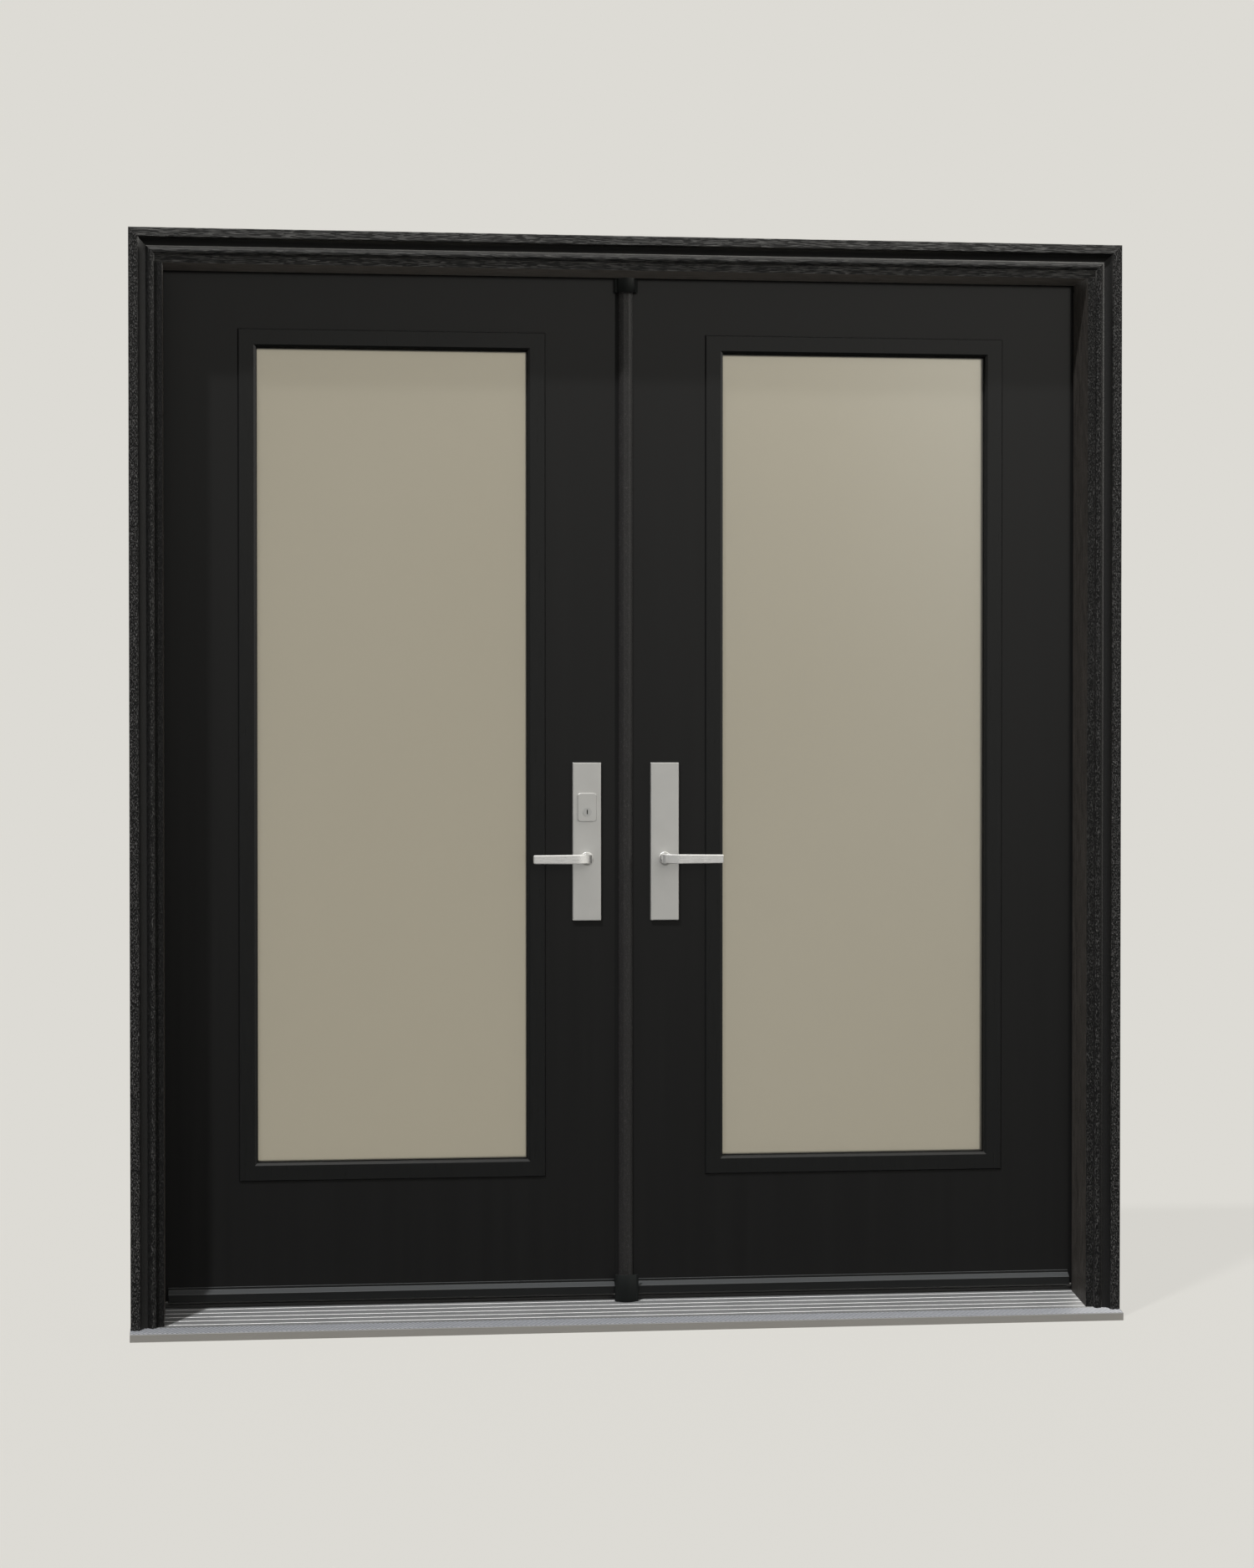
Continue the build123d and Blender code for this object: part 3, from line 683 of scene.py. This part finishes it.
@dataclass(frozen=True)
class Palette:
    """All finishes of the door."""

    upright_moulding: Finish = MouldingPaint(
        "upright_moulding_paint", "grained_black", (0.005, 0.005, 0.005), 0.36,
        specular=0.12, wear_and_glint=(0.15, 0.147, 0.144),
    )
    level_moulding: Finish = MouldingPaint(
        "level_moulding_paint", "grained_black", (0.005, 0.005, 0.005), 0.33,
        specular=0.3, relief=0.35 * MM, direction=Direction.LEVEL,
        grain_length=24 * MM, grain_width=1.3 * MM, wear_and_glint=(0.15, 0.148, 0.143), wear_and_glint_edge=0.05,
        lip=2063.3 * MM, bead_wear_and_glint=(0.27, 1.08), cove_shade_colour=(0.005, 0.005, 0.005), cove_coat=0.2,
    )
    # The left jamb's paler crests are kept weaker, as painted shade.
    upright_jamb: Finish = JambPaint(
        "upright_jamb_paint", "grained_black", (0.005, 0.005, 0.005), 0.38,
        specular=0.1, wear_and_glint=(0.075, 0.074, 0.072), shaded_left=0.45,
    )
    level_jamb: Finish = JambPaint(
        "level_jamb_paint", "grained_black", (0.008, 0.008, 0.008), 0.36,
        specular=0.12, relief=0.35 * MM, direction=Direction.LEVEL,
        grain_length=24 * MM, grain_width=1.3 * MM, wear_and_glint=(0.13, 0.128, 0.123), wear_and_glint_edge=0.05,
        inner=(0.07, 0.064, 0.059),
    )
    astragal: Finish = GrainedPaint(
        "astragal_paint", "grained_black", (0.0105, 0.01, 0.01), 0.38,
        specular=0.3, relief=0.3 * MM, grain_length=2.4 * MM, grain_width=1.3 * MM,
        wear_and_glint=(0.07, 0.067, 0.067), wear_and_glint_above=0.57,
    )
    slab: Finish = SlabPaint(
        "slab_paint", "slab_black", (0.0062, 0.0062, 0.0062), 0.3, specular=0.27
    )
    trim: Finish = MouldedTrim(
        "lite_frame_plastic", "trim_black", (0.0054, 0.0056, 0.0056), 0.3, specular=0.27
    )
    # The drip cap's top is paler from a dusting and a painted sheen.
    level_trim: Finish = MouldedTrim(
        "drip_cap_plastic", "trim_black", (0.0015, 0.0019, 0.0021), 0.4,
        specular=0.3, direction=Direction.LEVEL, side_shade=0.0, dust_and_sheen=1.0,
    )
    cap: Finish = Finish("cap_plastic", "cap_black", (0.0065, 0.0076, 0.0075), 0.5, specular=0.1)
    rubber: Finish = Finish(
        "black_rubber", "seal_rubber", (0.004, 0.004, 0.004), 0.7, specular=0.12
    )
    dark_metal: Finish = Finish(
        "dark_anodised", "dark_aluminium", (0.03, 0.03, 0.03), 0.4, metallic=0.6
    )
    sill: Finish = RibbedAluminium(
        "mill_aluminium", "sill_aluminium", (0.2, 0.203, 0.205), 0.5, metallic=0.3
    )
    tread: Finish = Nickel(
        "sill_tread_metal", "sill_aluminium", (0.33, 0.34, 0.365), 0.45,
        metallic=0.3, direction=Direction.LEVEL,
    )
    core: Finish = CompositeCore("sill_composite", "sill_substrate", (0.2, 0.17, 0.13), 0.8)
    glass: Finish = FrostedGlass(
        "etched_glass", "frosted_glass", (0.46, 0.427, 0.347), 0.3,
        specular=0.35, transmission=0.9,
    )
    plate: Finish = Nickel(
        "plate_nickel", "satin_nickel", (0.495, 0.492, 0.478), 0.42, metallic=0.7
    )
    lever: Finish = Nickel(
        "bright_nickel", "lever_nickel", (0.8, 0.795, 0.78), 0.28,
        metallic=0.7, relief=0.002 * MM, direction=Direction.LEVEL,
    )
    cylinder: Finish = Nickel(
        "cylinder_nickel", "satin_nickel", (0.44, 0.44, 0.43), 0.4, metallic=0.7
    )
    steel: Finish = Nickel(
        "zinc_plated_steel", "hinge_steel", (0.45, 0.44, 0.43), 0.34, metallic=1.0
    )


PALETTE = Palette()


# Pieces


def dress(finish: Finish, *names: str) -> None:
    """Gives CAD nodes a finish.

    Args:
        finish: the finish.
        names: the nodes.
    """
    for name in names:
        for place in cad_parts[name].material_slots:
            place.material = finish.material()
        log.info("%s: %s", name, finish.name)


def corners(name: str) -> tuple[Vector, Vector]:
    """The lowest and the highest corner of a CAD node's box, in millimetres."""
    low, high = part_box(name)
    return low / MM, high / MM


def block(mesh: bmesh.types.BMesh, size: Triple) -> list[bmesh.types.BMVert]:
    """Adds a block round the origin to a mesh, and gives its vertices."""
    verts = bmesh.ops.create_cube(mesh, size=1.0)["verts"]
    bmesh.ops.scale(mesh, vec=Vector(size), verts=verts)
    return verts


def shown(name: str, mesh: bmesh.types.BMesh, paint: bpy.types.Material) -> bpy.types.Object:
    """Puts a mesh into the scene.

    Args:
        name: the new object's name.
        mesh: its shape, which is freed.
        paint: its material.

    Returns:
        The new object.
    """
    data = bpy.data.meshes.new(name)
    mesh.to_mesh(data)
    mesh.free()
    data.materials.append(paint)
    made = bpy.data.objects.new(name, data)
    bpy.context.scene.collection.objects.link(made)
    return made


def piece(name: str, mesh: bmesh.types.BMesh, finish: Finish, body: str) -> None:
    """Makes a piece of a mesh that was drawn in millimetres.

    Args:
        name: the piece's name.
        mesh: the shape, which is freed.
        finish: what it is made of.
        body: the CAD body that it rides on.
    """
    bmesh.ops.scale(mesh, vec=Vector((MM, MM, MM)), verts=mesh.verts)
    made = shown(name, mesh, finish.material())
    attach(made, body)
    log.info("%s: %d faces, rides on %s", name, len(made.data.polygons), body)


@dataclass
class Arris:
    """Softens the sharp edges of CAD nodes, which catch the light on the real door."""

    width: float
    segments: int = 2
    sharper_than: float = math.radians(28)
    merge: float = 0.001

    def soften(self, *names: str) -> None:
        """Adds the modifiers.

        Args:
            names: the nodes.
        """
        for name in names:
            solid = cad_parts[name]
            weld = solid.modifiers.new("joined_facets", "WELD")
            weld.merge_threshold = self.merge * MM
            bevel = solid.modifiers.new("arris", "BEVEL")
            bevel.width = self.width * MM
            bevel.segments = self.segments
            bevel.limit_method = "ANGLE"
            bevel.angle_limit = self.sharper_than
            bevel.harden_normals = True
            log.info("%s: edges softened by %.1f mm", name, self.width)


@dataclass
class Screws:
    """Cross-recessed screw heads let into metal, all sizes in millimetres."""

    head_radius: float = 4.0
    proud: float = 0.35
    wall_share: float = 0.7
    rim: float = 0.6
    recess: Pair = (4.4, 1.0)
    recess_lift: float = 0.05
    sides: int = 24
    first_turn: float = 17.0
    next_turn: float = 41.0

    def drive(
        self, name: str, places: list[Triple], outward: Triple, finish: Finish, body: str
    ) -> None:
        """Makes one piece of the screws in a plate.

        Args:
            name: the piece's name.
            places: the middles of the heads, on the face that they are let into.
            outward: the direction that the heads look in.
            finish: what they are made of.
            body: the body that they ride on.
        """
        mesh = bmesh.new()
        facing = Vector(outward).to_track_quat("Z", "Y").to_matrix().to_4x4()
        for number, place in enumerate(places):
            turn = math.radians(self.first_turn + self.next_turn * number)
            stand = Matrix.Translation(place) @ facing @ Matrix.Rotation(turn, 4, "Z")
            bmesh.ops.transform(mesh, matrix=stand, verts=self.head(mesh))
        piece(name, mesh, finish, body)

    def head(self, mesh: bmesh.types.BMesh) -> list[bmesh.types.BMVert]:
        """Adds one head that looks along Z, an upright wall, a slanting rim and a crossed recess.

        Args:
            mesh: what it is added to.

        Returns:
            The head's vertices.
        """
        made = bmesh.ops.create_circle(
            mesh, cap_ends=True, segments=self.sides, radius=self.head_radius
        )["verts"]
        face = made[0].link_faces[0]
        bmesh.ops.translate(mesh, vec=Vector((0, 0, -self.proud)), verts=made)
        thickness = 2 * self.proud
        for inset, share in ((0.0, self.wall_share), (self.rim, 1 - self.wall_share)):
            ring = bmesh.ops.extrude_face_region(mesh, geom=[face])["geom"]
            bmesh.ops.delete(mesh, geom=[face], context="FACES_ONLY")
            verts = [part for part in ring if isinstance(part, bmesh.types.BMVert)]
            face = next(part for part in ring if isinstance(part, bmesh.types.BMFace))
            narrower = (self.head_radius - inset) / self.head_radius
            bmesh.ops.scale(mesh, vec=Vector((narrower, narrower, 1)), verts=verts)
            bmesh.ops.translate(mesh, vec=Vector((0, 0, thickness * share)), verts=verts)
            made += verts
        for turn in (0.0, math.pi / 2):
            slot = bmesh.ops.create_grid(mesh, x_segments=1, y_segments=1, size=0.5)["verts"]
            bmesh.ops.scale(mesh, vec=Vector((*self.recess, 1)), verts=slot)
            bmesh.ops.rotate(mesh, matrix=Matrix.Rotation(turn, 3, "Z"), verts=slot, cent=Vector())
            bmesh.ops.translate(mesh, vec=Vector((0, 0, self.proud + self.recess_lift)), verts=slot)
            made += slot
        return made


@dataclass
class HingeScrews:
    """The screws through one half of three hinges in a row, sizes in millimetres."""

    rises: tuple[float, ...] = (-39.0, -15.0, 15.0, 39.0)
    depths: Pair = (17.0, 30.0)
    hinge_height: float = 101.6

    def drive(self, part: str, side: Side, face_x: float, facing: int, body: str) -> None:
        """Drives the screws.

        Args:
            part: what the plates are let into, for the piece's name.
            side: the side of the door.
            face_x: where the plates' faces are.
            facing: plus one where they look to the right, minus one to the left.
            body: the body that the screws ride on.
        """
        low, high = corners(f"{side.value}_leaf_hinges")
        lowest, highest = low.z + self.hinge_height / 2, high.z - self.hinge_height / 2
        places = [
            (face_x, self.depths[number % 2], middle + rise)
            for middle in (lowest, (lowest + highest) / 2, highest)
            for number, rise in enumerate(self.rises)
        ]
        name = f"{side.value}_{part}_hinge_screws"
        Screws().drive(name, places, (facing, 0, 0), PALETTE.steel, body)


# Sub-assemblies


@dataclass
class DoorFrame:
    """Brickmould, jambs, seals, hinges and the astragal's caps, sizes in millimetres."""

    jamb_face: float = 919.0

    def build(self) -> None:
        """Dresses the frame's nodes and drives the screws of its hinges."""
        dress(PALETTE.upright_moulding, "brickmould_left", "brickmould_right")
        dress(PALETTE.level_moulding, "brickmould_head")
        dress(PALETTE.upright_jamb, "left_jamb", "right_jamb")
        dress(PALETTE.level_jamb, "head_jamb")
        dress(PALETTE.rubber, "seal_head", "seal_left", "seal_right")
        dress(PALETTE.cap, "astragal_cap_top", "astragal_cap_bottom")
        dress(PALETTE.steel, "jamb_hinges")
        for side in Side:
            HingeScrews().drive("jamb", side, side.sign * self.jamb_face, -side.sign, "frame")


@dataclass
class Sill:
    """The sloping metal sill with a tread of slanting ribs behind its nose, in millimetres."""

    rib_pitch: float = 9.0
    rib_width: float = 5.6
    rib_height: float = 0.5
    rib_crown: Pair = (0.7, 0.97)
    slant: float = 1.0
    end_margin: float = 1.0
    end_corners: int = 8

    def build(self) -> None:
        """Dresses the sill and lays the tread ribs."""
        dress(PALETTE.sill, "sill_deck")
        dress(PALETTE.core, "sill_core")
        dress(PALETTE.dark_metal, "threshold_riser")
        self.tread()

    def tread(self) -> None:
        """Lays slanting ribs on the slope, and cuts them square at the sill's ends."""
        low, high = corners("sill_deck")
        front, back = SILL.tread
        depth, middle = back - front, (front + back) / 2
        lean = Matrix(((1, -self.slant, 0, 0), (0, 1, 0, 0), (0, SILL.rise, 1, 0), (0, 0, 0, 1)))
        mesh = bmesh.new()
        for number in range(int((high.x - low.x + depth) / self.rib_pitch)):
            rib = block(mesh, (self.rib_width, depth, 2 * self.rib_height))
            crown = [vert for vert in rib if vert.co.z > 0]
            bmesh.ops.scale(mesh, vec=Vector((*self.rib_crown, 1)), verts=crown)
            x = low.x - depth / 2 + (number + 0.5) * self.rib_pitch
            place = Matrix.Translation((x, middle, SILL.height(middle)))
            bmesh.ops.transform(mesh, matrix=place @ lean, verts=rib)
        for way, end in ((-1, low.x + self.end_margin), (1, high.x - self.end_margin)):
            bmesh.ops.bisect_plane(
                mesh,
                geom=[*mesh.verts, *mesh.edges, *mesh.faces],
                plane_co=Vector((end, 0, 0)),
                plane_no=Vector((way, 0, 0)),
                clear_outer=True,
            )
            bmesh.ops.holes_fill(mesh, edges=mesh.edges, sides=self.end_corners)
        piece("sill_tread_ribs", mesh, PALETTE.tread, "frame")


@dataclass
class Leaf:
    """One leaf with its glass, mouldings, hinges and handle plates, sizes in millimetres."""

    side: Side
    plug_radius: float = 5.0
    plug_taper: float = 0.8
    plug_proud: float = 0.6
    plug_inset: float = 16.0
    plug_sides: int = 28
    plugs_up: int = 5
    plugs_across: int = 2
    plate_thickness: float = 8.0
    plate_screw_radius: float = 3.6
    plate_screw_inset: float = 16.0

    @property
    def body(self) -> str:
        """The CAD body of this leaf."""
        return f"{self.side.value}_leaf"

    def build(self) -> None:
        """Dresses the leaf's nodes and adds its fastenings."""
        side = self.side.value
        dress(PALETTE.slab, f"{side}_slab")
        dress(PALETTE.trim, f"{side}_lite_frame_outside", f"{side}_lite_frame_inside")
        dress(PALETTE.glass, f"{side}_glass")
        dress(PALETTE.level_trim, f"{side}_drip_cap")
        dress(PALETTE.plate, f"{side}_plate_outside", f"{side}_plate_inside")
        dress(PALETTE.lever, f"{side}_lever_outside", f"{side}_lever_inside")
        dress(PALETTE.steel, f"{side}_leaf_hinges", f"{side}_spindle")
        self.plugs()
        self.plate_screws()
        low, high = corners(f"{side}_slab")
        edge = low.x if self.side is Side.LEFT else high.x
        HingeScrews().drive("leaf", self.side, edge, self.side.sign, self.body)

    def plugs(self) -> None:
        """Sets the round plugs over the screws of the inner lite frame."""
        low, high = corners(f"{self.side.value}_lite_frame_inside")
        inset = self.plug_inset
        left, right, bottom, top = low.x + inset, high.x - inset, low.z + inset, high.z - inset
        heights = self.spread(bottom, top, self.plugs_up)
        widths = self.spread(left, right, self.plugs_across)
        places = [(x, z) for x in (left, right) for z in heights]
        places += [(x, z) for z in (bottom, top) for x in widths]
        mesh = bmesh.new()
        for x, z in places:
            bmesh.ops.create_cone(
                mesh,
                cap_ends=True,
                segments=self.plug_sides,
                radius1=self.plug_radius,
                radius2=self.plug_radius - self.plug_taper,
                depth=2 * self.plug_proud,
                matrix=Matrix.Translation((x, high.y, z)) @ Matrix.Rotation(-math.pi / 2, 4, "X"),
            )
        piece(f"{self.side.value}_lite_screw_plugs", mesh, PALETTE.trim, self.body)

    @staticmethod
    def spread(start: float, end: float, count: int) -> list[float]:
        """The middles of equal parts of a length."""
        return [start + (end - start) * (number + 0.5) / count for number in range(count)]

    def plate_screws(self) -> None:
        """Drives the two screws of the inside plate."""
        low, high = corners(f"{self.side.value}_plate_inside")
        face_y = corners(f"{self.side.value}_slab")[1].y + self.plate_thickness
        inset = self.plate_screw_inset
        places = [((low.x + high.x) / 2, face_y, z) for z in (low.z + inset, high.z - inset)]
        name = f"{self.side.value}_plate_screws"
        screws = Screws(head_radius=self.plate_screw_radius)
        screws.drive(name, places, (0, 1, 0), PALETTE.lever, self.body)


@dataclass
class Lock:
    """Keyed pad, cylinder, thumbturn, faceplate and strike, sizes in millimetres."""

    screw_radius: float = 3.8
    screw_inset: float = 14.0
    screw_step: float = 26.0
    keyway_shade_size: Triple = (2.3, 3.0, 9.1)
    keyway_shade_setback: float = 0.7

    def build(self) -> None:
        """Dresses the lock's nodes, fills the key slot with painted shade and drives the screws."""
        dress(PALETTE.plate, "keyed_pad", "thumbturn")
        dress(PALETTE.cylinder, "lock_cylinder")
        dress(PALETTE.steel, "lock_faceplate", "strike_plate")
        self.keyway_shade()
        self.edge_screws("lock_faceplate", 1, "left_leaf")
        self.edge_screws("strike_plate", -1, "right_leaf")

    def keyway_shade(self) -> None:
        """Fills the key slot with a dark block of painted shade, a little behind the cylinder's
        face.
        """
        low, high = corners("lock_cylinder")
        place = (low + high) / 2
        place.y = low.y + self.keyway_shade_setback + self.keyway_shade_size[1] / 2
        mesh = bmesh.new()
        # Painted shade: a black block sits where the key slot would only be dark.
        bmesh.ops.translate(mesh, vec=place, verts=block(mesh, self.keyway_shade_size))
        piece("keyway_shade", mesh, PALETTE.rubber, "left_leaf")

    def edge_screws(self, plate: str, facing: int, body: str) -> None:
        """Drives the screws at the ends of a plate in a leaf's edge.

        Args:
            plate: the plate's node.
            facing: plus one where its face looks to the right, minus one to the left.
            body: the body that it rides on.
        """
        low, high = corners(plate)
        face_x = high.x if facing > 0 else low.x
        places = [
            (face_x, (low.y + high.y) / 2, end + way * (self.screw_inset + step))
            for end, way in ((low.z, 1), (high.z, -1))
            for step in (0.0, self.screw_step)
        ]
        screws = Screws(head_radius=self.screw_radius)
        screws.drive(f"{plate}_screws", places, (facing, 0, 0), PALETTE.steel, body)


@dataclass
class Astragal:
    """The moulding and stem that close the gap between the leaves, sizes in millimetres."""

    fin_reach: float = 6.5
    fin_root: float = 1.0
    fin_thickness: float = 1.2
    fin_tip: float = 0.4
    fin_y: float = -1.3

    def build(self) -> None:
        """Dresses the astragal's nodes and adds the fin along its free edge."""
        dress(PALETTE.astragal, "astragal_moulding", "astragal_stem")
        dress(PALETTE.rubber, "centre_seal")
        self.fin()

    def fin(self) -> None:
        """Stretches a thin rubber fin, narrow at its tip, from the moulding to the active leaf."""
        low, high = corners("astragal_moulding")
        mesh = bmesh.new()
        strip = block(mesh, (self.fin_reach + self.fin_root, self.fin_thickness, high.z - low.z))
        tip = [vert for vert in strip if vert.co.x < 0]
        bmesh.ops.scale(mesh, vec=Vector((1, self.fin_tip, 1)), verts=tip)
        middle_x = low.x + (self.fin_root - self.fin_reach) / 2
        place = Vector((middle_x, self.fin_y, (low.z + high.z) / 2))
        bmesh.ops.translate(mesh, vec=place, verts=strip)
        piece("astragal_fin", mesh, PALETTE.rubber, "right_leaf")


# Studio


@dataclass
class Studio:
    """Camera, lamp, world and floor.

    The gloss numbers shape what the door's sheen shows: surroundings that get brighter with
    height and to the right. Unshadowed pieces let the key light through, and unmirrored ones
    are not seen in the sheen of the leaves.
    """

    pale: Colour = (0.723, 0.708, 0.665)
    white: Colour = (1.0, 1.0, 1.0)
    ambient: float = 0.4
    sun_strength: float = 3.5
    sun_angle: float = math.radians(3.5)
    sun_travel: Triple = (0.72, 1.0, -1.65)
    floor_colour: Colour = (0.56, 0.548, 0.515)
    floor_roughness: float = 0.9
    floor_size: float = 60.0
    floor_glow: float = 0.9
    gloss_high: float = 1.05
    gloss_right: float = 3.7
    gloss_rise: Pair = (-0.2, 0.45)
    gloss_turn: Pair = (-0.22, 0.8)
    unshadowed: tuple[str, ...] = (
        "left_lever_outside", "right_lever_outside", "keyed_pad", "lock_cylinder",
    )
    unmirrored: tuple[str, ...] = (
        "head_jamb", "right_jamb", "brickmould_head", "brickmould_right",
    )
    focal_length: float = 74.395
    sensor: float = 36.0
    clip: Pair = (0.1, 200.0)
    camera_place: Triple = (-0.774942, -6.351944, 1.155138)
    camera_yaw: float = math.radians(6.98267)
    camera_pitch: float = math.radians(-0.9096)

    def build(self) -> None:
        """Sets up the studio."""
        self.camera()
        self.lamp()
        self.world()
        self.floor()
        for name in self.unmirrored:
            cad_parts[name].visible_glossy = False
        bpy.context.scene.view_settings.view_transform = "Standard"

    def camera(self) -> None:
        """Places the camera where the photograph was taken from."""
        data = bpy.data.cameras.new("camera")
        data.sensor_fit = "AUTO"
        data.sensor_width = self.sensor
        data.lens = self.focal_length
        data.clip_start, data.clip_end = self.clip
        made = bpy.data.objects.new("camera", data)
        bpy.context.scene.collection.objects.link(made)
        made.location = self.camera_place
        made.rotation_euler = (math.pi / 2 + self.camera_pitch, 0.0, -self.camera_yaw)
        bpy.context.scene.camera = made

    def lamp(self) -> None:
        """Hangs the soft key light up to the left, in front of the door."""
        data = bpy.data.lights.new("key_light", "SUN")
        data.energy = self.sun_strength
        data.angle = self.sun_angle
        made = bpy.data.objects.new("key_light", data)
        made.rotation_euler = Vector(self.sun_travel).to_track_quat("-Z", "Y").to_euler()
        bpy.context.scene.collection.objects.link(made)
        passed = bpy.data.collections.new("passed_by_key_light")
        made.light_linking.blocker_collection = passed
        for name in self.unshadowed:
            passed.objects.link(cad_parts[name])
        for place in passed.collection_objects:
            place.light_linking.link_state = "EXCLUDE"

    def world(self) -> None:
        """Shows pale surroundings to the eye and to gloss, and lights the door with less."""
        made = bpy.data.worlds.new("surroundings")
        bpy.context.scene.world = made
        made.use_nodes = True
        graph = Graph(made.node_tree)
        rays = graph.node("ShaderNodeLightPath")
        straight = self.straight(graph, rays)
        gloss = Value(graph, rays.outputs["Is Glossy Ray"])
        way = graph.node("ShaderNodeTexCoord").outputs["Generated"]
        right = graph.axis("X", way).between(*self.gloss_turn)
        high = graph.axis("Z", way).between(*self.gloss_rise)
        sheen = high * self.gloss_high * (1 + right * self.gloss_right)
        strength = straight.greatest(gloss * sheen)
        pale = {"Color": self.pale, "Strength": strength}
        dim = {"Color": self.white, "Strength": self.ambient}
        surroundings = graph.node("ShaderNodeBackground", sockets=pale)
        light = graph.node("ShaderNodeBackground", sockets=dim)
        mix = graph.blend(straight.greatest(gloss), light, surroundings)
        graph.node("ShaderNodeOutputWorld", sockets={"Surface": mix.outputs[0]})

    @staticmethod
    def straight(graph: Graph, rays: Node) -> Value:
        """One where a ray comes from the eye, directly or through glass."""
        camera = Value(graph, rays.outputs["Is Camera Ray"])
        return camera.greatest(Value(graph, rays.outputs["Is Transmission Ray"]))

    def floor(self) -> None:
        """Lays a wide pale floor that keeps the door's shadow and is not seen by gloss."""
        paint = bpy.data.materials.new("floor_paint")
        paint.use_nodes = True
        graph = Graph(paint.node_tree)
        cloth = graph.node(
            "ShaderNodeBsdfPrincipled",
            sockets={
                "Base Color": self.floor_colour,
                "Roughness": self.floor_roughness,
                "Specular IOR Level": 0.0,
            },
        )
        pale = {"Color": self.pale, "Strength": 1.0}
        glow = graph.node("ShaderNodeEmission", sockets=pale)
        rays = graph.node("ShaderNodeLightPath")
        straight = self.straight(graph, rays)
        mirrored = Value(graph, rays.outputs["Is Glossy Ray"]) * (1 - straight)
        lit = graph.blend(straight * self.floor_glow, cloth, glow)
        mix = graph.blend(mirrored, lit, graph.node("ShaderNodeBsdfTransparent"))
        graph.node("ShaderNodeOutputMaterial", sockets={"Surface": mix.outputs[0]})
        mesh = bmesh.new()
        bmesh.ops.create_grid(mesh, x_segments=1, y_segments=1, size=self.floor_size / 2)
        made = shown("floor", mesh, paint)


def main() -> None:
    """Builds the door's sub-assemblies and the studio in order."""
    logging.basicConfig(level=logging.INFO, format="%(name)s: %(message)s")
    DoorFrame().build()
    Sill().build()
    for side in Side:
        Leaf(side).build()
    Lock().build()
    Astragal().build()
    for side in Side:
        Arris(width=0.8).soften(f"{side.value}_plate_outside", f"{side.value}_plate_inside")
    Arris(width=0.5).soften("keyed_pad")
    Arris(width=0.9).soften("left_drip_cap", "right_drip_cap")
    Arris(width=0.6).soften("astragal_cap_top", "astragal_cap_bottom", "threshold_riser")
    Studio().build()


if __name__ == "__main__":
    main()
